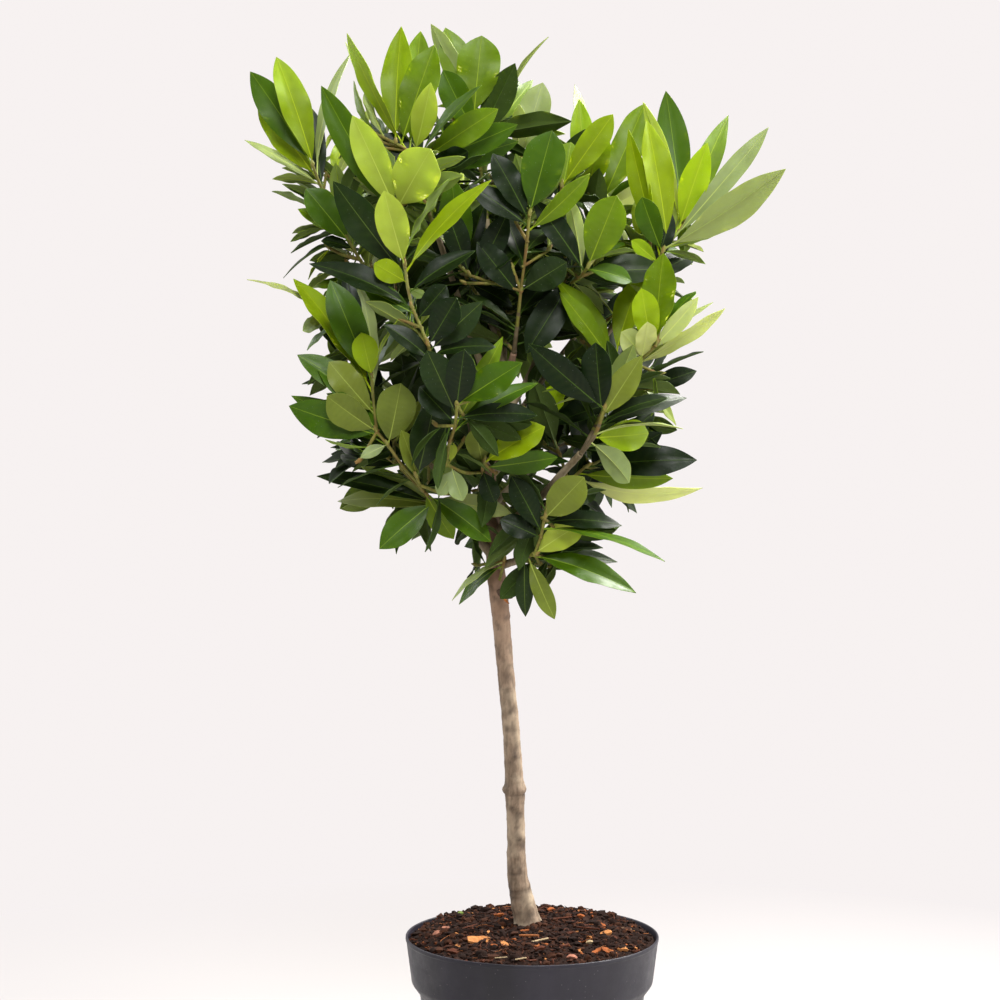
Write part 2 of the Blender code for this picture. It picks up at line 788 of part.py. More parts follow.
def bent_twig(start, leaving, tip, arriving, radius, straight):
    """A twig's path: it leaves start, first straight on, and arrives at its tip as directed."""
    span = (tip - start).length
    reach = span / 3
    corners = (start, start + leaving * reach, tip - arriving * reach, tip)
    steps = max(1, math.ceil(span / TWIG_STEP))
    path = [(*start, radius)]
    if straight:
        path.append((*(start + leaving * straight), radius))
    for k in range(1, steps + 1):
        t = k / steps
        weights = ((1 - t) ** 3, 3 * t * (1 - t) ** 2, 3 * t**2 * (1 - t), t**3)
        point = sum((c * w for c, w in zip(corners, weights)), Vector((0, 0, 0)))
        path.append((*point, radius + (TWIG_TIP - radius) * t))
    return [*path, (*(tip + arriving * BUD), TWIG_TIP * 0.4)]


def back_along(path, distance):
    """The place and direction this far back from the tip of a twig's path, short of its bud."""
    points = [Vector(point[:3]) for point in path[:-1]]
    for nearer, farther in zip(points[::-1], points[-2::-1]):
        span = (nearer - farther).length
        along = (nearer - farther) / span
        if distance <= span:
            return nearer - along * distance, along, True
        distance -= span
    return points[0], along, False


class Growth:
    """One mass while it grows: where twigs may spring from, and what has grown so far."""

    def __init__(self, name, start, leaving, radius, limb):
        self.name = name
        self.limb = limb
        self.springs = [(start, leaving, radius, 0)]
        self.meshes = []
        self.blades = []
        self.twigs = []
        self.dice = random.Random(f"{SEED} {name}")

    def spring_for(self, tip):
        return min(self.springs, key=lambda spring: (tip - spring[0]).length + 0.35 * spring[3])

    def add_twig(self, shoot, solids):
        """Grows the twig to this shoot's tip, or skips the shoot where it finds no way."""
        tip = Vector(shoot.tip)
        arriving = pointing(shoot.heading, shoot.lean)
        start, parent_way, radius, distance = self.spring_for(tip)
        first = not self.meshes
        straight = SQUARE_START if first else 0
        others = [s for s in solids if s.owner != self.name and not (first and s.owner == self.limb)]
        for attempt in range(TRIES):
            wander = Vector(self.dice.gauss(0, 0.25 * attempt) for _ in range(3))
            leaving = (parent_way + (tip - start).normalized() + wander).normalized()
            if first:
                leaving = parent_way
            path = bent_twig(start, leaving, tip, arriving, radius * TWIG_TAPER, straight)
            if not solid_of_mesh(tube_mesh("room", grown(path, GAP / MM), 3)).meets(others):
                break
            if first:
                tip = tip + wander * 12
        else:
            return
        mesh = tube_mesh("twig", path, 3)
        self.meshes.append(mesh)
        self.twigs.append((shoot, path))
        solids.append(solid_of_mesh(mesh, self.name))
        if first:
            self.springs.clear()
        for here, there in zip(path[1:], path[2:]):
            place_here = Vector(here[:3])
            distance += TWIG_STEP
            way = (Vector(there[:3]) - place_here).normalized()
            self.springs.append((place_here, way, here[3], distance))

    def add_leaf(self, poses, solids, listed):
        """Adds a leaf in the first of these poses that is clear; a listed one may cross its own."""
        others = [s for s in solids if s.owner != self.name]
        kept = None
        for pose in poses:
            if not listed and not in_crown(pose.root + pose.along * pose.leaf.length):
                continue
            if pose.room().meets(others):
                continue
            if not pose.blade().meets(self.blades):
                kept = pose
                break
            if listed and kept is None:
                kept = pose
        if kept:
            self.meshes.append(leaf_mesh(kept))
            self.blades.append(kept.blade())
            solids.append(Solid(*kept.shape(), self.name))

    def listed_poses(self, root, leaf):
        for attempt in range(TRIES):
            heading, lean, turn = (self.dice.gauss(0, each * attempt) for each in LISTED_WANDER)
            along = pointing(leaf.heading + heading, leaf.lean + lean)
            yield Pose(leaf, root, along, turned_face(along, leaf.turn + turn))

    def ruled_poses(self, root, way, spin, slope, front):
        """A leaf at this angle to its twig, whose upper face looks along the twig and upwards."""
        across = way.orthogonal().normalized()
        length = self.dice.uniform(*LEAF_LENGTHS)
        for attempt in range(TRIES):
            leaf = Leaf(0, 0, length, length * LEAF_RATIO, arch=self.dice.uniform(8, 20))
            turned = Matrix.Rotation(spin + attempt * 0.4, 3, way) @ across
            tilt = slope + self.dice.gauss(0, 0.1 * attempt)
            along = way * math.cos(tilt) + turned * math.sin(tilt)
            if front and along.y < -0.35:
                along.y = -along.y
            face = way + Vector((0, 0, 0.5))
            face = (face - along * along.dot(face)).normalized()
            yield Pose(leaf, root, along, face)

    def add_listed_leaves(self, solids):
        for shoot, path in self.twigs:
            for k, leaf in enumerate(shoot.leaves):
                root, _, _ = back_along(path, k * WHORL_STEP)
                self.add_leaf(self.listed_poses(root, leaf), solids, True)

    def add_ruled_leaves(self, solids):
        for shoot, path in self.twigs:
            listed = len(shoot.leaves)
            whorl = 0 if listed else WHORL_LEAVES
            phase = self.dice.uniform(0, 2 * math.pi)
            for k in range(whorl + shoot.more):
                back = (listed + min(k, whorl)) * WHORL_STEP + max(0, k - whorl + 1) * STEM_STEP
                root, way, on_twig = back_along(path, back)
                if not on_twig:
                    break
                slope = math.radians(min(36 + 8 * k, 72) if whorl else 62)
                spin = phase + k * GOLDEN_ANGLE
                self.add_leaf(self.ruled_poses(root, way, spin, slope, bool(listed)), solids, False)

    def fused(self, parts, clearance):
        """The mass as one closed body: its stem with every twig and leaf joined to it."""
        members = new_collection(self.name + "_members")
        for mesh in self.meshes[1:]:
            place(self.name + "_member", mesh, members)
        whole = place(self.name, self.meshes[0], parts, "leaf")
        union = whole.modifiers.new("join", "BOOLEAN")
        union.operation = "UNION"
        union.operand_type = "COLLECTION"
        union.collection = members
        union.solver = SOLVER
        if self.limb == "stem":
            cut = whole.modifiers.new("clear_of_trunk", "BOOLEAN")
            cut.operation = "DIFFERENCE"
            cut.object = clearance
        graph = bpy.context.evaluated_depsgraph_get()
        mesh = bpy.data.meshes.new_from_object(whole.evaluated_get(graph))
        whole.modifiers.clear()
        keep_largest_body(mesh)
        whole.data = mesh
        mesh.materials.clear()
        mesh.materials.append(material("leaf"))
        for member in list(members.objects):
            bpy.data.objects.remove(member)
        bpy.data.collections.remove(members)
        return whole


def keep_largest_body(mesh):
    """Drops loose scraps and the skins of sealed hollows."""
    work = bmesh.new()
    work.from_mesh(mesh)
    unseen = set(work.verts)
    bodies = []
    while unseen:
        queue = [unseen.pop()]
        body = set(queue)
        while queue:
            for edge in queue.pop().link_edges:
                for vert in edge.verts:
                    if vert not in body:
                        body.add(vert)
                        queue.append(vert)
        unseen -= body
        bodies.append(body)
    bodies.sort(key=len)
    for body in bodies[:-1]:
        bmesh.ops.delete(work, geom=list(body), context="VERTS")
    work.to_mesh(mesh)
    work.free()


def crown_reach(height):
    for low, high in zip(CROWN_REACH, CROWN_REACH[1:]):
        if low[0] <= height <= high[0]:
            return low[1] + (high[1] - low[1]) * (height - low[0]) / (high[0] - low[0])
    raise ValueError(f"the crown has no height {height}")


def in_crown(point):
    """Whether a point keeps to the crown's own space."""
    if not CROWN_REACH[0][0] <= point.z <= CROWN_REACH[-1][0]:
        return False
    aside = math.hypot(point.x - CROWN_MIDDLE[0], point.y - CROWN_MIDDLE[1])
    return aside <= crown_reach(point.z)


def ruled_shoots(sector):
    """Shoots spread over a sector by the golden ratio, pointing outwards and up."""
    shoots = []
    low, high = sector.heights
    first, last = sector.azimuth
    for k in range(sector.shoots):
        height = low + (high - low) * (k + 0.5) / sector.shoots
        azimuth = math.radians(first + (last - first) * ((k * 0.618 + 0.3) % 1))
        reach = crown_reach(height) - sector.inset
        out = Vector((math.cos(azimuth), math.sin(azimuth), 0))
        tip = Vector((*CROWN_MIDDLE, height)) + out * reach
        up = 0.5 + 1.6 * (height - CROWN_REACH[0][0]) / (CROWN_REACH[-1][0] - CROWN_REACH[0][0])
        way = (out + Vector((0, 0, up))).normalized()
        lean = -math.degrees(math.asin(way.y))
        shoots.append(Shoot(tuple(tip), math.degrees(math.atan2(way.x, way.z)), lean, 2))
    return shoots


def limb_end(path):
    last, before = Vector(path[-1][:3]), Vector(path[-2][:3])
    way = (last - before).normalized()
    return last + way * (GAP / MM), way, path[-1][3]


def start_growth(name, mass, limb_paths):
    """A mass's stem starts just past its limb's tip, or inside the stem and is cut clear of it."""
    if mass.limb in limb_paths:
        start, way, radius = limb_end(limb_paths[mass.limb])
        return Growth(name, start, way, radius, mass.limb)
    start = Vector(on_trunk(mass.limb))
    way = (Vector(mass.shoots[0].tip) - start).normalized()
    return Growth(name, start, way, 1.8, "stem")


def build_foliage(parts, limb_paths, solids, clearance):
    masses = dict(FOLIAGE)
    for name, sector in BY_RULE.items():
        masses[name] = Mass(sector.limb, ruled_shoots(sector))
    growths = [start_growth(name, mass, limb_paths) for name, mass in masses.items()]
    for growth in growths:
        for shoot in masses[growth.name].shoots:
            growth.add_twig(shoot, solids)
    for growth in growths:
        growth.add_listed_leaves(solids)
    for growth in growths:
        growth.add_ruled_leaves(solids)
    return [growth.fused(parts, clearance) for growth in growths]


def main():
    clear_scene()
    parts = new_collection("bay_topiary")
    cutters = new_collection("cutters")
    build_pot(parts, cutters)
    build_soil(parts)
    _, clearance = build_trunk(parts, cutters)
    limb_paths = {"trunk": trunk_path()}
    solids = [solid_of_mesh(clearance.data, "stem")]
    for name, sizes in BOUGHS.items():
        build_bough(name, sizes, clearance, parts)
        limb_paths[name] = bough_path(*sizes)
        solids.append(solid_of_mesh(tube_mesh(name, limb_paths[name], BOUGH_SIDES), name))
    build_foliage(parts, limb_paths, solids, clearance)


main()
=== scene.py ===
"""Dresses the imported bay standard: leaves, twigs, bark, compost and pot, in studio light.

The foliage grows by the same rule, tables and seeds as the solids that it replaces, and goes on
to finer twigs inside the same crown. Everything is then dressed with curved blades, bark, chips
and peat. Tables are in millimetres and degrees, +Z up, -Y the front.
"""

import itertools
import math
import random
from dataclasses import dataclass

import bmesh
import bpy
import numpy as np
from mathutils import Matrix, Vector, noise
from mathutils.bvhtree import BVHTree

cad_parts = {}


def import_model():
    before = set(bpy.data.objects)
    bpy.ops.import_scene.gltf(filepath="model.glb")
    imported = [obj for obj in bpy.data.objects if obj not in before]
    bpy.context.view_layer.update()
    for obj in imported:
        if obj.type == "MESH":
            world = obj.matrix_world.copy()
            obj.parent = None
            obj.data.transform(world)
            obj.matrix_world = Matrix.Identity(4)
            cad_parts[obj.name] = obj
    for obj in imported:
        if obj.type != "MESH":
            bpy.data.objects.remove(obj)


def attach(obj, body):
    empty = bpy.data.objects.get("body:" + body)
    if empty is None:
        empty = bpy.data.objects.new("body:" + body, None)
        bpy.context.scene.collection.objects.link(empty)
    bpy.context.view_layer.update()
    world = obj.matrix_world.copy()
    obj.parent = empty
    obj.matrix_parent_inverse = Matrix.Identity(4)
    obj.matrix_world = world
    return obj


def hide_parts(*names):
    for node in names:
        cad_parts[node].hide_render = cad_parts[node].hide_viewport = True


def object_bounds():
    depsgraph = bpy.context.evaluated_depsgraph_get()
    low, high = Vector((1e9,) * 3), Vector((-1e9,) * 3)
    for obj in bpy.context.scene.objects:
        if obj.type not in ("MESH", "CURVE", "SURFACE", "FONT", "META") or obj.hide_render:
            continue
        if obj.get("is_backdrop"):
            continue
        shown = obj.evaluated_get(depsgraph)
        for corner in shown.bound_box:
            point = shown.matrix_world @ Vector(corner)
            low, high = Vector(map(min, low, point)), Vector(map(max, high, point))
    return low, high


MM = 0.001
GAP = 0.3 * MM
SEED = 21

# ---------------------------------------------------------------- the plant's own sizes

# The stem: height, sideways, depth and radius
TRUNK = (
    (150, -3.0, 10, 13.0),
    (155, -3.2, 10, 11.8),
    (161, -4.2, 10, 9.9),
    (177, -8.1, 9, 8.7),
    (198, -11.4, 8, 7.4),
    (220, -11.8, 7, 6.9),
    (242, -12.5, 6, 6.9),
    (258, -12.9, 5, 7.8),
    (272, -13.8, 5, 6.8),
    (305, -15.8, 4, 6.4),
    (347, -19.8, 3, 6.3),
    (389, -23.5, 2, 6.7),
    (412, -25.8, 2, 7.1),
    (433, -27.9, 1, 6.6),
    (495, -31.6, 0, 4.6),
    (550, -22.0, -8, 3.4),
    (585, -14.0, -25, 2.4),
)

# Each bough: the height at which it leaves the stem, its bends and its end, and its two radii
BOUGHS = {
    "bough_left": (433, ((-50, -12, 459), (-64, -22, 469)), 3.6, 2.9),
    "bough_right": (450, ((4, -20, 477), (22, -42, 497), (34, -56, 510)), 3.2, 2.4),
    "bough_front": (468, ((-38, -26, 484), (-37, -46, 496)), 2.6, 1.9),
    "bough_front_left": (505, ((-46, -40, 528), (-66, -86, 560)), 3.0, 2.1),
    "bough_crest_left": (520, ((-72, 5, 575), (-118, 10, 640)), 3.0, 2.0),
    "bough_crest": (538, ((-46, -12, 600), (-70, -22, 672)), 3.0, 2.0),
    "bough_top": (559, ((-27, 10, 610), (-34, 16, 690)), 2.8, 1.9),
    "bough_shoulder": (530, ((0, 0, 575), (24, 2, 640)), 2.8, 1.9),
    "bough_crest_right": (495, ((14, 10, 545), (55, 2, 600), (80, -8, 630)), 3.0, 2.0),
    "bough_right_low": (444, ((-6, 8, 458), (16, -2, 478)), 2.6, 1.9),
    "bough_skirt": (426, ((-16, -14, 430), (-10, -21, 432)), 3.2, 2.6),
    "bough_back_low": (440, ((-28, 24, 452), (-22, 52, 474)), 2.6, 1.8),
    "bough_back_left_low": (458, ((-52, 22, 482), (-78, 42, 504)), 2.6, 1.8),
    "bough_back_right_low": (472, ((-8, 26, 494), (26, 52, 520)), 2.6, 1.8),
    "bough_back_left": (512, ((-54, 32, 556), (-84, 58, 600)), 2.6, 1.8),
    "bough_back_right": (516, ((2, 32, 560), (34, 62, 604)), 2.6, 1.8),
    "bough_back": (546, ((-21, 34, 590), (-24, 66, 636)), 2.6, 1.8),
    "bough_heart": (566, ((-26, -2, 596), (-40, 16, 630)), 2.2, 1.7),
}

# How far the crown reaches from its middle at each height
CROWN_MIDDLE = (-26, 0)
CROWN_REACH = ((400, 30), (430, 88), (470, 125), (540, 152), (650, 156), (700, 172), (760, 185),
               (800, 160), (845, 60))

# The pot: a round 3-litre nursery pot
RIM_RADIUS = 95
POT_HEIGHT = 150
BAND_FOOT_RADIUS = 90.5
BAND_DEPTH = 35
NECK_RADIUS = 84.5
NECK_DROP = 7
FOOT_RADIUS = 67
WALL = 1.6
FLOOR = 2.2
LIP_DEPTH = 2.6
LIP_STEP = 0.5
POT_SIDES = 120
DRAIN_HOLES = 6
DRAIN_RADIUS = 4.5
DRAIN_RING = 46
DRAIN_SIDES = 28
POT_ROUNDING = 0.7
POT_SHARP = 38  # degrees between faces that meet at a sharp edge

# The compost: its height by distance from the pot's axis, and the hollows in it
SOIL_PROFILE = ((0, 155.5), (30, 155), (62, 153.4), (80, 150), (93, 146))
SOIL_RADIUS = 92.2
SOIL_SIDES = 200
SOIL_RINGS = 66
SOIL_RING_POWER = 0.9  # rings lie a little closer towards the edge
SOIL_CLEAR = 0.8  # between the compost's flank and the pot's wall
SOIL_LUMPS = ((19, 1.9), (7.5, 1.1), (3.1, 0.6), (1.4, 0.35))  # how wide and how high
CALM_EDGE = 8  # the lumps die down over this width at the edge, to this share
CALM_LEAST = 0.15
HOLLOWS = ((-16, -26, 11, 3.6), (34, -50, 13, 2.6), (-52, 10, 16, 2.4), (56, 28, 15, 2.4),
           (-62, -38, 12, 2.2), (8, 58, 18, 2.8), (30, 2, 9, 2.0))
STEM_FOOT = (-3, 10)
REAR_HEAP = 3.6  # how much higher the compost lies at the back, from this far behind the middle
REAR_HEAP_FROM = 25
REAR_HEAP_RUN = 45
PLACED_HEIGHT = 151.0  # of the compost where the front view shows chips by themselves

# The camera stands in front, level with the crown's foot
CAMERA = (-24.1, -1400.0, 476.6)
LENS = 67
SENSOR = 36
FOCAL_PX = LENS / SENSOR * 1000

# Marks on the stem: height, degrees from the front to the right, width in degrees, height of the
# mark, how far it stands out, and how dark it is
SCARS = (
    (333.8, 0, 26, 1.6, -0.5, 0.7),
    (336.4, 0, 30, 1.2, 0.5, 0.0),
    (317.2, 2, 15, 2.2, -0.4, 0.9),
    (305.1, -28, 15, 2.0, -0.3, 0.8),
    (283.9, 13, 20, 3.0, 0.7, 0.85),
    (258.3, 0, 900, 2.6, 0.55, 0.0),
    (258.8, -80, 34, 3.4, 1.3, 0.25),
    (257.6, 48, 32, 3.0, 1.2, 0.25),
    (255.0, 0, 900, 0.9, -0.35, 0.35),
    (244.7, -27, 18, 2.2, -0.3, 0.6),
    (222.8, 18, 24, 3.4, 0.8, 0.45),
    (220.6, 18, 16, 1.1, -0.5, 0.7),
    (195.6, -12, 44, 1.1, -0.5, 0.7),
    (198.2, -12, 50, 2.0, 0.4, 0.0),
    (182.0, 0, 900, 1.3, -0.35, 0.55),
    (184.6, 0, 900, 1.8, 0.3, 0.0),
    (176.7, -60, 24, 2.4, -0.9, 0.5),
    (352.0, 40, 22, 1.4, 0.4, 0.4),
    (368.0, -70, 22, 1.5, 0.5, 0.4),
    (389.0, 100, 26, 1.8, 0.7, 0.5),
    (232.0, 130, 26, 2.4, 0.8, 0.4),
    (290.0, 190, 26, 2.6, 0.9, 0.4),
    (345.0, 215, 22, 1.8, 0.7, 0.4),
    (210.0, 240, 26, 2.4, 0.8, 0.4),
)

# The pruned stub and its torn strip: steps from the stem's middle, and radii
STUB_HEIGHT = 407
STUB_PATH = (((-1, -3, 2), 2.8), ((2.5, -6, 0), 3.3), ((7.5, -7.5, -1.5), 3.0),
             ((11, -8, -2.2), 2.1))
STUB_SIDES = 14
STUB_END = (-0.7, 0.3)  # how unevenly it is cut
TORN_PATH = (((2, -6.5, -1), 0.7), ((5, -9.2, -5), 0.9), ((8, -9.4, -8), 0.5))
TORN_SIDES = 7

# Chips that the front view shows by themselves: pixel, length, width, yaw, and which colour
PLACED_CHIPS = (
    ((479, 945), 17, 11, 8, 2),
    ((503, 928), 10, 3, 25, 3),
    ((499, 922), 8, 2.5, -15, 3),
    ((438, 936), 8, 4, 30, 4),
    ((446, 933), 6, 3, -20, 4),
    ((461, 918), 6, 3, 50, 5),
    ((627, 931), 14, 2.5, 10, 6),
    ((604, 930), 7, 3, -30, 3),
    ((606, 939), 9, 4, 20, 2),
    ((591, 946), 7, 3, -10, 6),
    ((596, 951), 8, 3, 40, 3),
    ((571, 957), 9, 3.5, -25, 4),
    ((623, 949), 8, 4, 15, 2),
    ((494, 950), 5, 2, 0, 3),
    ((552, 915), 8, 3, 35, 3),
    ((580, 922), 9, 3, -40, 3),
    ((566, 936), 8, 3, 60, 1),
    ((452, 951), 9, 4, -35, 1),
    ((540, 953), 8, 3, 15, 1),
)
PLACED_STICKS = (  # pixel, length, yaw, radius, and which colour
    ((529, 944), 15, -20, 0.9, 2),
    ((540, 947), 14, 30, 0.7, 3),
    ((521, 960), 8, 10, 0.6, 3),
    ((501, 958), 9, -10, 0.5, 3),
    ((561, 925), 18, 15, 0.7, 1),
    ((588, 935), 20, -35, 0.7, 1),
    ((470, 930), 16, 40, 0.6, 1),
)

# What is strewn on the compost, from this far round the stem
STREWN_FROM = 12
CHIPS = 420
CHIP_TONES = (0, 0, 0, 0, 0, 0, 0, 1, 1, 1, 1, 2, 3)
CHIP_LENGTHS = (2.0, 6.5)
CHIP_RATIO = (0.25, 0.6)  # width by length
CHIP_THICKNESS = (0.5, 1.6)
CHIP_SECTIONS = 5
CHIP_TAPER = 0.55
CHIP_BEND = 0.35
CHIP_UNEVEN = (0.82, 1.12)
CHIP_TILT = 0.35  # radians
CHIP_ROLL = 0.25
CRUMBS = 2600
CRUMB_SIZES = (0.45, 1.5)  # the least radius and how much more it may be
CLODS = 420
CLOD_RANGE = (1.4, 3.6)  # radius
FOOT_CLODS = 110  # round the stem's foot
FOOT_CLOD_RANGE = (1.1, 2.8)
FOOT_CLOD_RING = (11.5, 17)
LUMP_UNEVEN = (0.65, 1.3)
LUMP_STRETCH = (0.8, 1.4)
LUMP_FLATNESS = 0.8
FIBRES = 420
FIBRE_TONES = (0, 0, 0, 0, 1, 1, 1, 2)
FIBRE_LENGTHS = (3, 13)
FIBRE_RADII = (0.16, 0.42)
FIBRE_CURL = 0.5  # radians
FIBRE_RISE = (-0.05, 0.35)

# A ruled leaf takes one of the tones of the first row whose least light it passes, so painted shade
# makes leaves low and deep in the crown darker
TONES_BY_LIGHT = (
    (0.95, ("fresh", "green", "bright", "green", "deep")),
    (0.7, ("green", "olive", "deep", "green", "fresh")),
    (0.45, ("deep", "shade", "olive", "deep", "dark")),
    (-9, ("dark", "shade", "dark")),
)

# Each tone's colour above and below as seen in sRGB, and how much light a blade lets through
LEAF_COLOURS = {
    "lime": ((158, 180, 62), (160, 178, 92), 0.4),
    "bright": ((142, 174, 6), (158, 178, 80), 0.42),
    "fresh": ((128, 154, 2), (138, 158, 72), 0.38),
    "green": ((98, 128, 3), (126, 146, 74), 0.35),
    "deep": ((62, 96, 3), (110, 130, 66), 0.25),
    "olive": ((108, 124, 44), (112, 130, 70), 0.25),
    # grey: partly a painted sheen of the bright surroundings on glossy upper faces, partly paler
    # undersides
    "grey": ((140, 158, 100), (144, 160, 102), 0.25),
    # pale: partly paler undersides, partly painted light on leaves lit from the right and behind
    "pale": ((178, 192, 118), (170, 184, 120), 0.45),
    # shade and dark: partly the leaves' own dark green, partly painted shade for leaves deep in the
    # crown
    "shade": ((29, 48, 12), (76, 96, 44), 0.1),
    "dark": ((13, 32, 2), (50, 70, 24), 0.08),
}
LEAF_GLOSS = {  # roughness from and to, and how much a blade's face mirrors
    "upper": ((0.34, 0.48), 0.2),
    "young": ((0.36, 0.5), 0.2),
    "under": ((0.6, 0.75), 0.12),
}
GLOSSY_TONES = ("dark", "shade", "deep")
MOTTLE = 0.78  # how light the darker mottles are
WARMTH = (1.2, 1.06, 0.9)  # of the leaves that are tinted most
TINT_SHARE = 0.6
VEIN_COLOUR = (150, 166, 70)
VEIN_CLEARNESS = (0.025, 0.1)  # on the glossy tones and on the others
# Painted shade, besides the blade's own deeper green: a blade is painted darker towards its foot
FOOT_SHADE = 0.38  # how much darker a blade is at its foot
DUST_SCALE = 330
DUST_SHARE = 0.1
DUST_COLOUR = (190, 200, 190)
GLOW_RADIUS = (0.9, 1.0, 0.2)  # of the light that a blade scatters, by colour
GLOW_SCALE = 1.2 * MM
RIB_COLOUR = (196, 204, 96)
RIB_SHARE = 0.5  # of the rib's own colour, blended with its leaf's by proportion
RIB_MIRROR = 0.2

# Each bark: its material's name, how fine its streaks are, its relief and its three colours
TWIG_BARKS = (
    ("twig_young", 420, 0.3, (124, 128, 40), (96, 88, 34), (118, 88, 44)),
    ("twig_old", 380, 0.4, (98, 84, 56), (66, 54, 34), (118, 104, 76)),
    ("twig_bud", 500, 0.2, (128, 134, 52), (112, 96, 44), (140, 110, 56)),
)
BOUGH_BARK = ("bark_bough", 380, 0.5, (138, 124, 92), (108, 92, 66), (154, 140, 112))
STEM_BARK = ("bark_stem", 300, 0.5, (148, 126, 104), (92, 76, 58), (172, 154, 130))
STUB_BARK = ("bark_stub", 300, 0.5, (86, 62, 46), (58, 40, 30), (104, 78, 58))
UPPER_BARK = (0.33, 0.42)  # the stem turns browner between these heights, in metres
UPPER_BARK_COLOUR = (132, 102, 80)
# The dark of the bark's specks and scars, and the painted shade in its sunk creases
CREASE_SHADE_AND_MARK_COLOUR = (52, 38, 28)

# Scraps of wood, bark and peat: each kind's materials, which the tones above count from 0
SCRAPS = {
    "torn": {"torn_wood": (196, 120, 66)},
    "chips": {
        "chip_brown": (46, 27, 19),
        "chip_red": (80, 43, 28),
        "chip_tan": (178, 118, 68),
        "chip_orange": (148, 82, 42),
        "chip_pink": (160, 108, 88),
        "chip_green": (96, 112, 52),
        "chip_straw": (168, 148, 114),
    },
    "crumbs": {"crumb_dark": (32, 18, 12), "crumb_brown": (62, 36, 23)},
    "fibres": {
        "fibre_brown": (50, 29, 20),
        "fibre_red": (84, 46, 30),
        "fibre_orange": (150, 92, 54),
        "fibre_straw": (176, 154, 120),
    },
}
EARTH_GLOSS = 0.15
POT_COLOURS = ((20, 18, 27), (34, 31, 43), (76, 73, 82), (128, 122, 124))
COMPOST_COLOURS = ((15, 8, 5), (52, 29, 19), (24, 13, 9))

# The studio, in metres
BACKDROP = (0.93, 0.885, 0.88)
FLOOR_RADIUS = 6
FLOOR_FADE = (0.35, 0.95)
FLOOR_COLOUR = (0.42, 0.405, 0.4)
AMBIENT = 0.6  # of the sky dome, at its brightest
DOME = ((0.3, 0.35, 0.9), 0.05)  # towards its brightest place, and the light on the far side
DOME_EDGE = (-0.4, 0.9)  # where its light begins to rise and is full, by the cosine to that place
LIGHTS = {  # place, aim, size, power, colour
    "key": ((1.2, 0.5, 1.9), (0, 0, 0.6), 0.8, 96, (1.0, 0.98, 0.94)),
    "front": ((0.1, -2.0, 2.2), (0, 0, 0.5), 1.0, 58, (1.0, 1.0, 1.0)),
    "side": ((1.8, -0.4, 0.6), (0, 0, 0.3), 0.5, 16, (1.0, 0.99, 0.97)),
    "left": ((-1.6, 0.7, 1.3), (0, 0, 0.6), 0.9, 22, (0.97, 0.99, 1.0)),
}

TONES = tuple(LEAF_COLOURS)


@dataclass
class Leaf:
    """One leaf: its tone, where it points and faces in degrees, and its size."""

    tone: str
    heading: float  # 0 is up and 90 is to the right, seen from the front
    lean: float  # towards the front
    length: float
    width: float
    turn: float = 0  # 0 shows its upper face to the front and 180 its underside
    arch: float = 12  # how far the tip bends away from the upper face, per cent of the length


@dataclass
class Shoot:
    """One shoot: its tip, where it points there, its own leaves and how many more grow below."""

    tip: tuple
    heading: float
    lean: float
    more: int
    leaves: tuple = ()


@dataclass
class Mass:
    """One mass of foliage: the limb that carries it, or a height on the stem, and its shoots."""

    limb: object
    shoots: list


@dataclass
class Sector:
    """A mass whose shoots are spread by rule over its share of the crown."""

    limb: str
    azimuth: tuple  # degrees from the right, turning towards the back
    heights: tuple
    shoots: int
    inset: float = 52  # how far inside the crown's surface its shoots end


